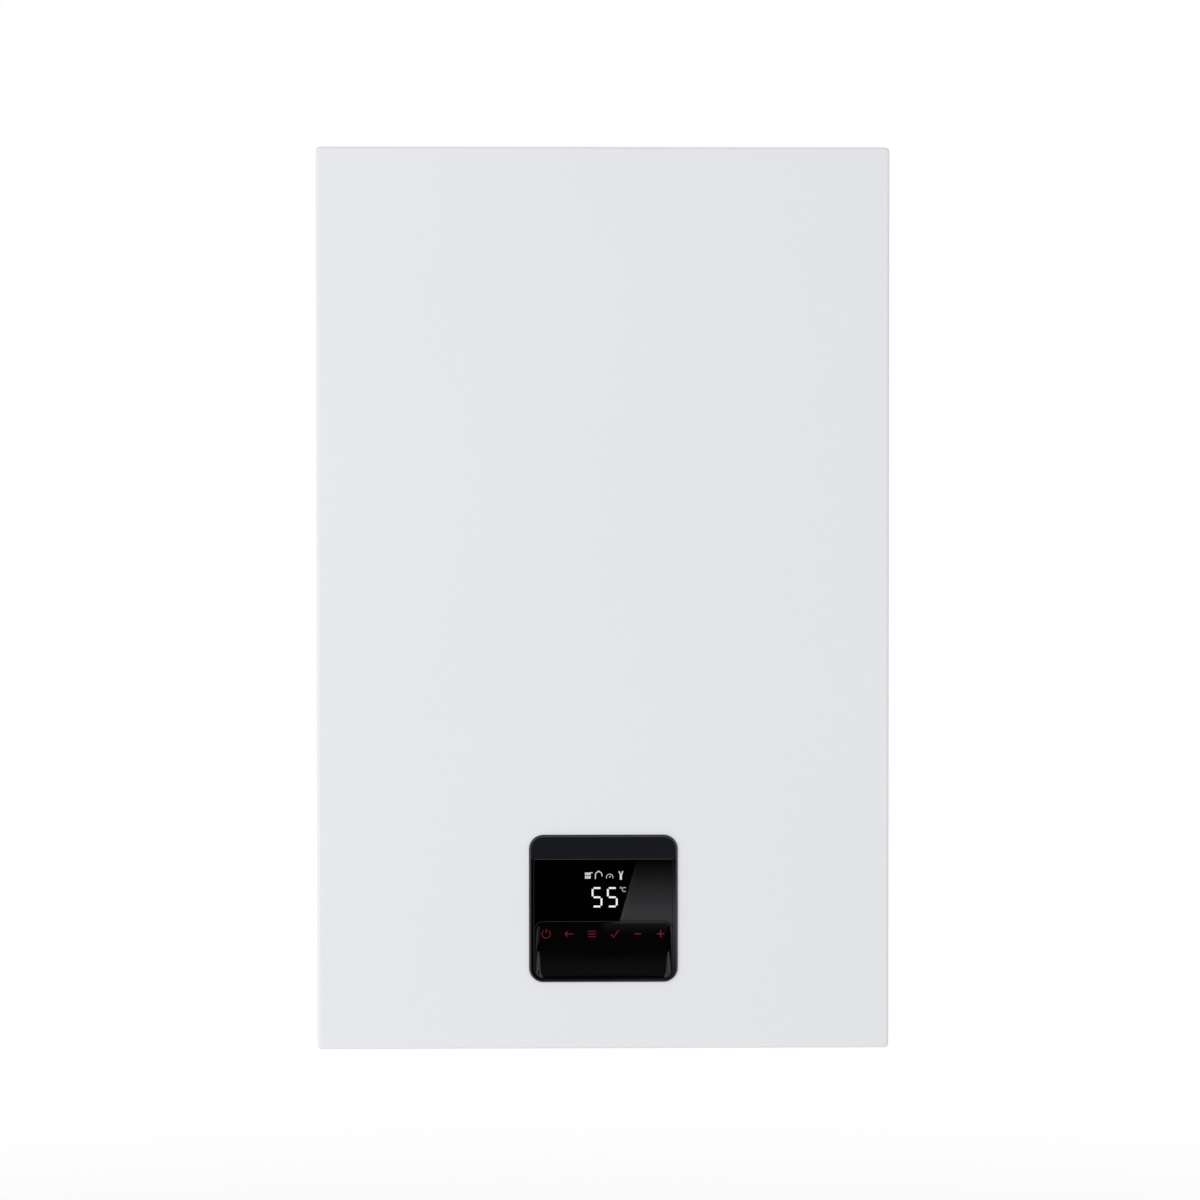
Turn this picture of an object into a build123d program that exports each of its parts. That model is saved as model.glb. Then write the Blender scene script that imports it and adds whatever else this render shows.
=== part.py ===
from build123d import *

import os
from math import atan2, cos, degrees, hypot, pi, radians, sin, sqrt

# Wall-hung combi boiler: casing, flue, heat cell, fan and gas train, pump and hydraulics,
# condensate drain and the fold-down electronics box behind the control panel.
# Millimetres. +Z is up, +X is right and the front faces -Y. Heights are counted from the
# bottom of the casing, and the saved pieces are lowered so that the origin lies on the wall
# plane, in the middle of the hanging line of the wall bracket.

# ---- Casing ----
CASING_WIDTH = 400.0
CASING_HEIGHT = 630.0
CASING_DEPTH = 270.0
PANEL_SHEET = 1.0
FRAME_SHEET = 1.5
COVER_RETURN = 28.0
COVER_EDGE_RADIUS = 2.5
COVER_CORNER_RADIUS = 3.0
SEAM_GAP = 1.5
FLANGE_SETBACK = 8.0
STEP_IN = 5.0
SIDE_FLANGE = 14.0
TOP_FLANGE = 24.0
REAR_FLANGE = 12.0
FACE_GAP = 0.3
BOTTOM_PLATE_HEIGHT = 40.0
PLATE_LID_GAP = 3.0
RAIL_ABOVE_BOX = 18.0
RAIL_HEIGHT = 16.0
RAIL_DEPTH = 12.0
SEAL_WIDTH = 8.0
SEAL_INSET = 2.0

# ---- Wall bracket and its recess ----
HANG_DROP = 40.0
BRACKET_INSET = 20.0
BRACKET_HEIGHT = 42.0
BRACKET_SHEET = 2.5
BRACKET_ABOVE_LINE = 24.0
HOOK_DEPTH = 10.0
RECESS_MARGIN = 5.0
RECESS_DEPTH = 12.0
SLOT_INSET = 30.0
SLOT_LENGTH = 20.0
SLOT_RADIUS = 5.0
SCREW_RADIUS = 2.0
SCREW_HEAD = 4.0
SCREW_HEAD_HEIGHT = 2.4
SCREW_LENGTH = 8.0
TAB_INSET = 35.0
TAB_WIDTH = 16.0
TAB_Z = 12.0
SHELF_SETBACK = 4.0
SHELF_DEPTH = 16.0
SCREW_SETBACK = 6.0
HOOK_X = 100.0
HOOK_WIDTH = 24.0
HOOK_DROP = 22.0
HOOK_FOOT = 18.0
HOOK_REACH = 14.0
FOOT_RADIUS = 6.0
LOWER_FIXING_HEIGHT = 20.0
LOWER_FIXING_RADIUS = 4.0
REAR_SCREW_COUNT = 4
REAR_SCREW_INSET = 70.0
PLATE_FOOT_INSET = 30.0

# ---- Control panel ----
PANEL_HEIGHT_ABOVE_BASE = 98.5
BEZEL_WIDTH = 103.0
BEZEL_HEIGHT = 102.3
BEZEL_RADIUS = 9.5
BEZEL_PROUD = 2.0
BEZEL_EDGE = 1.8
CUTOUT_GAP = 0.5
STRIP_HEIGHT = 16.3
WINDOW_SETBACK = 0.6
WINDOW_THICKNESS = 1.6
RIM_WIDTH = 3.0
BOTTOM_RIM = 2.0
KEY_PANEL_HEIGHT = 40.5
KEY_PANEL_THICKNESS = 5.5
KEY_TOP_RADIUS = 6.0
KEY_BOTTOM_RADIUS = 8.0
SCOOP_HEIGHT = 26.8
SCOOP_DEPTH = 3.4
SCOOP_SIDE = 2.4
SCOOP_FILLET = 6.0
INSERT_GAP = 0.1

# ---- Electronics box ----
BOX_SIDE_GAP = 30.0
BOX_FRONT_SETBACK = 8.0
BOX_DEPTH = 57.0
BOX_BOTTOM = 44.0
BOX_HEIGHT = 122.0
BOX_WALL = 2.0
LID_THICKNESS = 2.0
HINGE_INSET = 8.0
HINGE_PIN_RADIUS = 3.0
HINGE_BOSS_RADIUS = 6.5
PIN_CLEARANCE = 0.05
BOARD_THICKNESS = 1.6
GROMMET_RADIUS = 9.0
GROMMET_HOLE = 7.0
GROMMET_BORE = 4.0
GROMMET_INSET = 20.0
GROMMET_X = 120.0
GROMMET_PITCH = 40.0
HINGE_BOSS_LENGTH = 8.0
BRACKET_FOOT = 20.0
POST_RADIUS = 4.0
POST_INSET = 30.0
POST_Z = 44.0
BOARD_SETBACK = 17.0
BOARD_SIDE_MARGIN = 20.0
BOARD_MARGIN = 10.0
TRANSFORMER_WIDTH = 46.0
TRANSFORMER_HEIGHT = 44.0
TRANSFORMER_DEPTH = 13.0
RELAY_WIDTH = 18.0
RELAY_HEIGHT = 22.0
RELAY_DEPTH = 10.0
RELAY_PITCH = 26.0
RELAY_START = 60.0
RELAY_COUNT = 4
CAPACITOR_RADIUS = 8.0
CAPACITOR_DEPTH = 12.0
CAPACITOR_PITCH = 22.0
CAPACITOR_START = 50.0
CAPACITOR_COUNT = 3
CONNECTOR_WIDTH = 20.0
CONNECTOR_HEIGHT = 10.0
CONNECTOR_DEPTH = 9.0
CONNECTOR_PITCH = 27.0
CONNECTOR_START = 78.0
COMPONENT_MARGIN = 8.0
CONNECTOR_MARGIN = 3.0
BOARD_POCKET = 44.0
BOARD_POCKET_DEPTH = 5.0
LED_HALF = 20.0
LEAD_OPENING = 60.0

# ---- Flue ----
FLUE_SETBACK = 48.0
FLUE_DUCT_RADIUS = 30.0
FLUE_DUCT_WALL = 1.0
AIR_SOCKET_RADIUS = 50.5
COLLAR_WALL = 3.5
COLLAR_LENGTH = 55.0
COLLAR_FLANGE = 66.0
COLLAR_FLANGE_THICKNESS = 2.0
RING_HEIGHT = 8.0
RIB = 3.0
SPIGOT_DROP = 70.0
SPIGOT_LAP = 15.0
BELL_LENGTH = 40.0
BELL_RADIUS = 30.3

# ---- Heat cell ----
CELL_SPIGOT_RISE = 25.0
CELL_SIDE_GAP = 49.0
CELL_FAN_GAP = 5.0
CELL_WALL = 3.0
CELL_FLANGE = 11.0
CELL_STRIP_X = 20.0
CELL_STRIP = 50.0
CELL_STRIP_GAP = 2.5
CELL_STRIP_LAP = 34.0
CELL_STRIP_FOOT = 12.0
DOOR_BOLT_ANGLES = (60, 120, 240, 300)
BOLT_RADIUS = 3.0
BOLT_GRIP = 9.0
BOLT_HEAD = 5.0
BOLT_HEAD_HEIGHT = 4.0
FLOW_SETBACK = 23.0
PORT_DROP = 22.0
DRAIN_SETBACK = 18.0
DRAIN_DROP = 12.0
ELECTRODE_SIDE = 30.0
ELECTRODE_FALL = 38.0
ELECTRODE_RADIUS = 5.0
ELECTRODE_STUB = 16.0
ELECTRODE_REACH = 24.0
ELECTRODE_WIRE = 1.2
CHANNEL_SETBACK = 20.0
CELL_DEPTH = 130.0
DOOR_THICKNESS = 6.0
CHANNEL_DEPTH = 22.0
CHANNEL_WALL = 3.0
COIL_SHELL_GAP = 9.0
COIL_TUBE = 8.0
COIL_PITCH = 17.5
BURNER_RADIUS = 35.0
BURNER_LENGTH = 88.0
INSULATION = 12.0
PORT_RADIUS = 12.0
PORT_BORE = 9.0

# ---- Fan, venturi and gas valve ----
FAN_SIDE_GAP = 15.0
FAN_RADIUS = 60.0
FAN_HEIGHT = 40.0
FAN_WALL = 3.0
FAN_INLET = 20.0
DUCT_WIDTH = 42.0
FAN_DISC = 2.0
FAN_HUB = 8.0
BLADE = 1.5
FAN_SHAFT_REACH = 30.0
FAN_BORE_SPARE = 2.0
BLADE_TIP = 1.0
GAS_LINK = 14.0
FAN_MOTOR_FILLET = 6.0
FAN_MOTOR_FLANGE = 6.0
IMPELLER_RADIUS = 50.0
IMPELLER_BLADES = 16
FAN_SHAFT = 4.0
SHAFT_CLEARANCE = 0.05
SHAFT_HOLE_GAP = 1.0
FAN_MOTOR_RADIUS = 36.0
FAN_MOTOR_HEIGHT = 46.0
VENTURI_RADIUS = 32.0
VENTURI_HEIGHT = 40.0
GAS_BLOCK_WIDTH = 64.0
GAS_BLOCK_DEPTH = 66.0
GAS_BLOCK_HEIGHT = 62.0
GAS_SPIGOT = 9.0
GAS_BORE = 5.0
GAS_INLET = 10.0
GAS_TURN = 22.0
GAS_FILLET = 4.0
GAS_COIL_RADIUS = 13.0
GAS_COIL_LENGTH = 24.0
PLUNGER_SEAT = 14.0
PLUNGER_REACH = 20.0
AIR_SPIGOT = 17.0
AIR_BORE = 14.0
AIR_SPIGOT_LENGTH = 6.0
VENTURI_FLOOR = 6.0
SILENCER_GAP = 3.0
SILENCER_HALF_DEPTH = 42.0
SILENCER_HEIGHT = 104.0
SILENCER_FILLET = 8.0
SILENCER_MOUTH_MARGIN = 15.0
PLUNGER_RADIUS = 5.0
PLUNGER_TRAVEL = 2.5

# ---- Expansion vessel ----
VESSEL_BOTTOM = 250.0
VESSEL_RECESS_GAP = 15.5
VESSEL_CELL_GAP = 12.5
VESSEL_SHELL = 1.5
VESSEL_EDGE = 20.0
VESSEL_PORT = 7.0
VESSEL_PORT_X = -40.0
VESSEL_PORT_INSET = 22.0
VESSEL_PORT_DROP = 14.0
DIAPHRAGM_SETBACK = 22.5
DIAPHRAGM_THICKNESS = 2.0

# ---- Connections and hydraulics ----
CONNECTION_MARGIN = 70.0
CONNECTION_SETBACK = 145.0
NIPPLE_BOTTOM = 8.0
NIPPLE_TOP = 60.0
THREAD_SMALL = 10.48
THREAD_LARGE = 13.2
NUT_HEIGHT = 10.0
NUT_EXTRA = 5.0
PIPE_RADIUS = 9.0
PIPE_WALL = 1.0
PIPE_BEND = 20.0
NIPPLE_WALL = 2.5
COLLAR_RING_HEIGHT = 4.0
COLLAR_RING_WIDTH = 3.0
MANIFOLD_RADIUS = 17.0
ARM_RADIUS = 8.0
ARM_Z = 75.0
ARM_INSET = 12.0
MANIFOLD_BORE = 10.0
PUMP_Z = 150.0
PUMP_RADIUS = 44.0
PUMP_SETBACK = 13.0
PUMP_OFFSET = 5.0
PUMP_WIDTH = 48.0
PUMP_MOTOR_RADIUS = 38.0
PUMP_MOTOR_LENGTH = 38.0
PUMP_WALL = 4.0
RETURN_FORWARD = 11.0
PUMP_IMPELLER = 30.0
PUMP_SHAFT = 4.0
PLATE_HX_OVERHANG = 35.0
PLATE_HX_BOTTOM = 60.0
PLATE_HX_HEIGHT = 70.0
PLATE_HX_FRONT = -60.0
PLATE_HX_DEPTH = 50.0
PLATE_HX_RIBS = 20
SPINDLE_RADIUS = 3.0
SPINDLE_DISC = 9.0
SPINDLE_TRAVEL = 6.0
TURBINE_RADIUS = 9.0
SENSOR_TUBE = 13.0
VALVE_OFFSET = 48.0
VALVE_RADIUS = 11.0
KNOB_RADIUS = 12.0
TAP_KNOB_RADIUS = 9.0
VENT_OFFSET = 35.0
VENT_RADIUS = 13.0
VENT_FLOAT_TRAVEL = 8.0
TRAP_INSET = 35.0
TRAP_Y = -60.0
TRAP_RADIUS = 22.0
TRAP_OUTLET = 10.0
HOSE_RADIUS = 9.0
HOSE_WALL = 2.0
HOSE_BEND = 25.0
HOSE_TURN_Z = 190.0
HOSE_BOSS_TOP = 100.0
DRAIN_RUN = 28.0
DRAIN_RISE = 40.0
TRAP_TOP = 160.0
TRAP_NECK = 12.0
HOT_ARM_Z = 110.0
HOT_ARM_RADIUS = 9.0
WEB = 4.0
DIVERTER_TOP = 170.0
GLAND = 6.0
FLOW_STUB = 32.0
FLOW_STUB_Z = 150.0
SPINDLE_DROP = 50.0
SPINDLE_RISE = 16.0
SPINDLE_DISC_HEIGHT = 4.0
ACTUATOR_WIDTH = 44.0
ACTUATOR_HEIGHT = 42.0
ACTUATOR_FILLET = 5.0
RETURN_STUB_TOP = 215.0
VENT_BOSS = 9.0
VENT_BOTTOM = 198.0
VENT_HEIGHT = 42.0
VENT_HOLE = 2.0
VALVE_ARM_Z = 80.0
VALVE_NECK = 3.0
VALVE_OUTLET = 7.0
VALVE_TOP = 112.0
VALVE_STEM_DEPTH = 12.0
VALVE_KNOB_HEIGHT = 15.0
PUMP_GAP = 6.0
PUMP_DISC = 4.0
PUMP_VANE = 20.0
PUMP_SHAFT_REACH = 28.0
PLATE_EDGE = 1.4
AXLE_RADIUS = 1.2
TAP_STEM = 4.0
TAP_STEM_DEPTH = 14.0
TAP_GAP = 6.0
TURBINE_LIFT = 12.0
TURBINE_LENGTH = 18.0
TURBINE_VANES = 4
PUMP_VANES = 6
GRIP_RIDGES = 12
AXLE_ARM_LAP = 1.0
TAP_KNOB_HEIGHT = 18.0
KNOB_GROOVE = 1.2

# ---- Places worked out from the sizes above ----
HALF_WIDTH = CASING_WIDTH / 2
INNER_X = HALF_WIDTH - PANEL_SHEET
FRONT_Y = -CASING_DEPTH
COVER_BACK_Y = FRONT_Y + COVER_RETURN
SIDE_FRONT_Y = COVER_BACK_Y + SEAM_GAP
FLANGE_Y = FRONT_Y + FLANGE_SETBACK
STEP_X = HALF_WIDTH - STEP_IN
STEP_INNER_X = STEP_X - PANEL_SHEET
STEP_TOP = CASING_HEIGHT - STEP_IN
UNDER_TOP = CASING_HEIGHT - PANEL_SHEET
PLATE_TOP = BOTTOM_PLATE_HEIGHT + FRAME_SHEET
SHELF_FRONT_Y = COVER_BACK_Y + SHELF_SETBACK
SCREW_Y = SHELF_FRONT_Y + SCREW_SETBACK
TAB_X = HALF_WIDTH - TAB_INSET
HOOK_Z = CASING_HEIGHT - HOOK_DROP
HANG_LINE = CASING_HEIGHT - HANG_DROP
BRACKET_TOP = HANG_LINE + BRACKET_ABOVE_LINE
BRACKET_WIDTH = CASING_WIDTH - 2 * BRACKET_INSET
SLOT_SPACING = BRACKET_WIDTH - 2 * SLOT_INSET
RECESS_BOTTOM = BRACKET_TOP - BRACKET_HEIGHT - RECESS_MARGIN - FRAME_SHEET

BOX_HALF_WIDTH = HALF_WIDTH - BOX_SIDE_GAP
BOX_FRONT_Y = FRONT_Y + BOX_FRONT_SETBACK
BOX_BACK_Y = BOX_FRONT_Y + BOX_DEPTH
BOX_TOP = BOX_BOTTOM + BOX_HEIGHT
RAIL_BOTTOM = BOX_TOP + RAIL_ABOVE_BOX
RAIL_TOP = RAIL_BOTTOM + RAIL_HEIGHT
PLATE_FRONT_Y = BOX_BACK_Y + LID_THICKNESS + PLATE_LID_GAP
HINGE_Y = BOX_FRONT_Y + HINGE_INSET
HINGE_Z = BOX_BOTTOM + HINGE_INSET
GROMMET_Y = BOX_BACK_Y - GROMMET_INSET
POST_X = BOX_HALF_WIDTH - POST_INSET
BOARD_HALF = BOX_HALF_WIDTH - BOARD_SIDE_MARGIN

CONNECTION_SPACING = (CASING_WIDTH - 2 * CONNECTION_MARGIN) / 4
CONNECTION_Y = FRONT_Y + CONNECTION_SETBACK
FLOW_X = -2 * CONNECTION_SPACING
HOT_X = -CONNECTION_SPACING
COLD_X = CONNECTION_SPACING
RETURN_X = 2 * CONNECTION_SPACING
TAP_X = (COLD_X + RETURN_X) / 2
VALVE_X = RETURN_X + VALVE_OFFSET
PUMP_X = RETURN_X - PUMP_OFFSET
VENT_X = PUMP_X + VENT_OFFSET
TRAP_X = HALF_WIDTH - TRAP_INSET
FLOW_STUB_X = FLOW_X + FLOW_STUB
RETURN_Y = CONNECTION_Y - RETURN_FORWARD
PUMP_BACK = CONNECTION_Y + PUMP_SETBACK
PUMP_FRONT = PUMP_BACK - PUMP_WIDTH
PLATE_HX_HALF_WIDTH = COLD_X + PLATE_HX_OVERHANG
ARM_X = PLATE_HX_HALF_WIDTH - ARM_INSET
HOSE_BOSS_Y = (CONNECTION_Y + PLATE_HX_FRONT) / 2

CHANNEL_FRONT = FRONT_Y + CHANNEL_SETBACK
DOOR_FRONT = CHANNEL_FRONT + CHANNEL_DEPTH
CELL_FRONT = DOOR_FRONT + DOOR_THICKNESS
CELL_BACK = CELL_FRONT + CELL_DEPTH
FAN_X = FAN_SIDE_GAP + FAN_RADIUS - HALF_WIDTH
FAN_Y = DOOR_FRONT + CHANNEL_WALL + FAN_RADIUS
CELL_LEFT = FAN_X + FAN_RADIUS + CELL_FAN_GAP
CELL_RIGHT = INNER_X - CELL_SIDE_GAP
CELL_X = (CELL_LEFT + CELL_RIGHT) / 2
CELL_RADIUS = (CELL_RIGHT - CELL_LEFT) / 2
SPIGOT_TOP = CASING_HEIGHT - SPIGOT_DROP
CELL_Z = SPIGOT_TOP - CELL_SPIGOT_RISE - CELL_RADIUS
COIL_RADIUS = CELL_RADIUS - CELL_WALL - COIL_SHELL_GAP - COIL_TUBE
COIL_ROOM = CELL_DEPTH - CELL_WALL - INSULATION - FACE_GAP - 2 * COIL_TUBE
COIL_TURNS = int(2 * COIL_ROOM / COIL_PITCH) / 2
ELECTRODE_X = CELL_X + ELECTRODE_SIDE
ELECTRODE_Z = CELL_Z - ELECTRODE_FALL
FLUE_Y = CELL_BACK - FLUE_SETBACK
FLOW_Y = CELL_BACK - FLOW_SETBACK
DRAIN_Y = CELL_BACK - DRAIN_SETBACK
PORT_OFFSET = PUMP_X - CELL_X
PORT_Z = CELL_Z - sqrt(CELL_RADIUS**2 - PORT_OFFSET**2)
FAN_BOTTOM = CELL_Z - FAN_HEIGHT / 2
FAN_TOP = FAN_BOTTOM + FAN_HEIGHT
VENTURI_BOTTOM = FAN_BOTTOM - VENTURI_HEIGHT
GAS_TOP = VENTURI_BOTTOM - GAS_LINK
GAS_BOTTOM = GAS_TOP - GAS_BLOCK_HEIGHT

VESSEL_FRONT = CELL_BACK + VESSEL_CELL_GAP
VESSEL_RADIUS = (RECESS_BOTTOM - VESSEL_RECESS_GAP - VESSEL_BOTTOM) / 2
VESSEL_Z = VESSEL_BOTTOM + VESSEL_RADIUS
VESSEL_PORT_Y = VESSEL_FRONT + VESSEL_PORT_INSET
DIAPHRAGM_Y = -DIAPHRAGM_SETBACK

PIPE = (PIPE_RADIUS, PIPE_WALL, PIPE_BEND)
PANEL_FRONT_Y = FRONT_Y - BEZEL_PROUD
PANEL_BOTTOM = PANEL_HEIGHT_ABOVE_BASE - BEZEL_HEIGHT / 2
STRIP_BOTTOM = PANEL_HEIGHT_ABOVE_BASE + BEZEL_HEIGHT / 2 - STRIP_HEIGHT
INSERT_HALF = BEZEL_WIDTH / 2 - RIM_WIDTH
KEY_BOTTOM = PANEL_BOTTOM + BOTTOM_RIM
KEY_TOP = KEY_BOTTOM + KEY_PANEL_HEIGHT
WINDOW_FRONT_Y = PANEL_FRONT_Y + WINDOW_SETBACK
WINDOW_BACK_Y = WINDOW_FRONT_Y + WINDOW_THICKNESS
KEY_BACK_Y = PANEL_FRONT_Y + KEY_PANEL_THICKNESS

AXIS_TURN = {"x": Rot(0, 90, 0), "y": Rot(-90, 0, 0), "z": Rot(0, 0, 0)}
PARTS_FOLDER = "parts"


# ---- Helpers ----
def block(x, y, z):
    """Box between a pair of limits along X, Y and Z."""
    sizes = [max(pair) - min(pair) for pair in (x, y, z)]
    middle = [(pair[0] + pair[1]) / 2 for pair in (x, y, z)]
    return Pos(*middle) * Box(*sizes)


def rod(axis, centre, radius, start, end):
    """Cylinder from start to end along an axis; centre is its other two coordinates."""
    place = list(centre)
    place.insert("xyz".index(axis), (start + end) / 2)
    return Pos(*place) * AXIS_TURN[axis] * Cylinder(radius, abs(end - start))


def tube(axis, centre, outer, inner, start, end):
    """Hollow cylinder, open at both ends."""
    return rod(axis, centre, outer, start, end) - rod(axis, centre, inner, start, end)


def facing_plate(outline, centre, back, front):
    """Outline drawn in the front view, with thickness from the back to the front plane."""
    place = Pos(centre[0], back, centre[1])
    return place * extrude(Plane.XZ * outline, amount=back - front)


def mirrored(shape):
    """The same piece on the other side of the boiler."""
    return mirror(shape, about=Plane.YZ)


def pipe(points, outer, wall, bend):
    """Round pipe along straight runs joined by tangent arcs."""
    path = FilletPolyline(*points, radius=bend) if len(points) > 2 else Line(*points)
    start = Vector(*points[0])
    section = Plane(origin=start, z_dir=Vector(*points[1]) - start)
    return sweep(section * (Circle(outer) - Circle(outer - wall)), path=path)


def save(name, *shapes):
    """Write one sub-part, lowered to the shared origin."""
    placed = [Pos(0, 0, -HANG_LINE) * shape for shape in shapes]
    body = placed[0] if len(placed) == 1 else Compound(children=placed)
    body.label = name
    export_step(body, os.path.join(PARTS_FOLDER, name + ".step"))


# ---- Casing ----
def cut_flat_slot(x, y, z):
    """Tool for a slot with round ends, running along X through a plate that faces Y."""
    straight = SLOT_LENGTH - 2 * SLOT_RADIUS
    middle = block((x - straight / 2, x + straight / 2), y, (z - SLOT_RADIUS, z + SLOT_RADIUS))
    ends = [rod("y", (x + side * straight / 2, z), SLOT_RADIUS, *y) for side in (-1, 1)]
    return middle + ends[0] + ends[1]


def rear_frame():
    """Back sheet with the bracket recess, lower fixing holes and welded heat cell brackets."""
    half = BRACKET_WIDTH / 2 + RECESS_MARGIN
    bottom = RECESS_BOTTOM + FRAME_SHEET
    sheet = FRAME_SHEET
    plate = block((-HALF_WIDTH, HALF_WIDTH), (-sheet, 0), (0, CASING_HEIGHT))
    pan_outer = block(
        (-half - sheet, half + sheet), (-RECESS_DEPTH - sheet, 0), (bottom - sheet, BRACKET_TOP + sheet)
    )
    pan_inner = block((-half, half), (-RECESS_DEPTH, 0), (bottom, BRACKET_TOP))
    body = plate + pan_outer - pan_inner
    for side in (-1, 1):
        place = (side * SLOT_SPACING / 2, LOWER_FIXING_HEIGHT)
        body -= rod("y", place, LOWER_FIXING_RADIUS, -sheet, 0)
        screw_x = side * (HALF_WIDTH - REAR_FLANGE / 2)
        for height in screw_heights():
            body -= rod("y", (screw_x, height), SCREW_RADIUS, -sheet, 0)
    return body + cell_bracket(1) + cell_bracket(-1)


def cell_bracket(way):
    """Bent strip from the back sheet to the back of the heat cell, above or below the vessel."""
    sheet = FRAME_SHEET
    strip = (CELL_STRIP_X - CELL_STRIP / 2, CELL_STRIP_X + CELL_STRIP / 2)
    shelf = VESSEL_Z + way * (VESSEL_RADIUS + CELL_STRIP_GAP)
    shelf_far = shelf + way * sheet
    leg_end = CELL_Z + way * (CELL_RADIUS - CELL_STRIP_LAP)
    foot_end = shelf + way * CELL_STRIP_FOOT
    leg = block(strip, (CELL_BACK, CELL_BACK + sheet), sorted((leg_end, shelf_far)))
    arm = block(strip, (CELL_BACK + sheet, -sheet), sorted((shelf, shelf_far)))
    foot = block(strip, (-2 * sheet, -sheet), sorted((shelf, foot_end)))
    return leg + arm + foot


def screw_heights():
    """Heights of the screws that hold a side panel to the back sheet."""
    step = (CASING_HEIGHT - 2 * REAR_SCREW_INSET) / (REAR_SCREW_COUNT - 1)
    return [REAR_SCREW_INSET + step * index for index in range(REAR_SCREW_COUNT)]


def side_panel():
    """Right side panel: outer face, step into the cover, seal flange, rear flange and screw shelf."""
    sheet = PANEL_SHEET
    rear = -FRAME_SHEET
    outer = block((INNER_X, HALF_WIDTH), (SIDE_FRONT_Y, rear), (0, UNDER_TOP))
    step = block((STEP_INNER_X, HALF_WIDTH), (SIDE_FRONT_Y, SIDE_FRONT_Y + sheet), (0, STEP_TOP))
    throat = block((STEP_INNER_X, STEP_X), (FLANGE_Y, SIDE_FRONT_Y + sheet), (STEP_IN, STEP_TOP))
    flange = block((STEP_X - SIDE_FLANGE, STEP_X), (FLANGE_Y, FLANGE_Y + sheet), (STEP_IN, STEP_TOP - sheet))
    back = block((HALF_WIDTH - REAR_FLANGE, HALF_WIDTH), (rear - sheet, rear), (0, UNDER_TOP))
    shelf = block(
        (TAB_X - TAB_WIDTH / 2, INNER_X),
        (SHELF_FRONT_Y, SHELF_FRONT_Y + SHELF_DEPTH),
        (TAB_Z + FACE_GAP, TAB_Z + FACE_GAP + FRAME_SHEET),
    )
    slot_half = SCREW_RADIUS + FACE_GAP
    slot_x = (TAB_X - slot_half, TAB_X + slot_half)
    slot = block(slot_x, (SHELF_FRONT_Y, SCREW_Y + slot_half), (0, TAB_Z + SCREW_LENGTH))
    body = outer + step + throat + flange + back + (shelf - slot)
    for height in screw_heights():
        body -= rod("y", (HALF_WIDTH - REAR_FLANGE / 2, height), SCREW_RADIUS, rear - sheet, rear)
    return body


def casing_screws():
    """Screws through the rear flanges of both side panels into the back sheet."""
    rear = -FRAME_SHEET - PANEL_SHEET
    screws = []
    for side in (-1, 1):
        for height in screw_heights():
            place = (side * (HALF_WIDTH - REAR_FLANGE / 2), height)
            shank = rod("y", place, SCREW_RADIUS, rear, 0)
            screws.append(shank + rod("y", place, SCREW_HEAD, rear - SCREW_HEAD_HEIGHT, rear))
    return screws


def top_plate():
    """Top sheet with the flue opening, its front step and the flange with two hook slots."""
    sheet = PANEL_SHEET
    rear = -FRAME_SHEET
    flange_half = STEP_X - SIDE_FLANGE
    rear_half = HALF_WIDTH - REAR_FLANGE
    sheet_top = block((-HALF_WIDTH, HALF_WIDTH), (SIDE_FRONT_Y, rear), (UNDER_TOP, CASING_HEIGHT))
    inside = (-STEP_INNER_X, STEP_INNER_X)
    step = block(inside, (SIDE_FRONT_Y, SIDE_FRONT_Y + sheet), (STEP_TOP - sheet, CASING_HEIGHT))
    throat = block(inside, (FLANGE_Y, SIDE_FRONT_Y + sheet), (STEP_TOP - sheet, STEP_TOP))
    flange = block(
        (-flange_half, flange_half), (FLANGE_Y, FLANGE_Y + sheet), (STEP_TOP - TOP_FLANGE, STEP_TOP)
    )
    back = block((-rear_half, rear_half), (rear - sheet, rear), (CASING_HEIGHT - REAR_FLANGE, UNDER_TOP))
    body = sheet_top + step + throat + flange + back
    body -= rod("z", (0, FLUE_Y), AIR_SOCKET_RADIUS + COLLAR_WALL, UNDER_TOP, CASING_HEIGHT)
    for side in (-1, 1):
        x = (side * HOOK_X - HOOK_WIDTH / 2 - FACE_GAP, side * HOOK_X + HOOK_WIDTH / 2 + FACE_GAP)
        z = (HOOK_Z - FACE_GAP, HOOK_Z + FRAME_SHEET + FACE_GAP)
        body -= block(x, (FLANGE_Y, FLANGE_Y + sheet), z)
    return body


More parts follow.
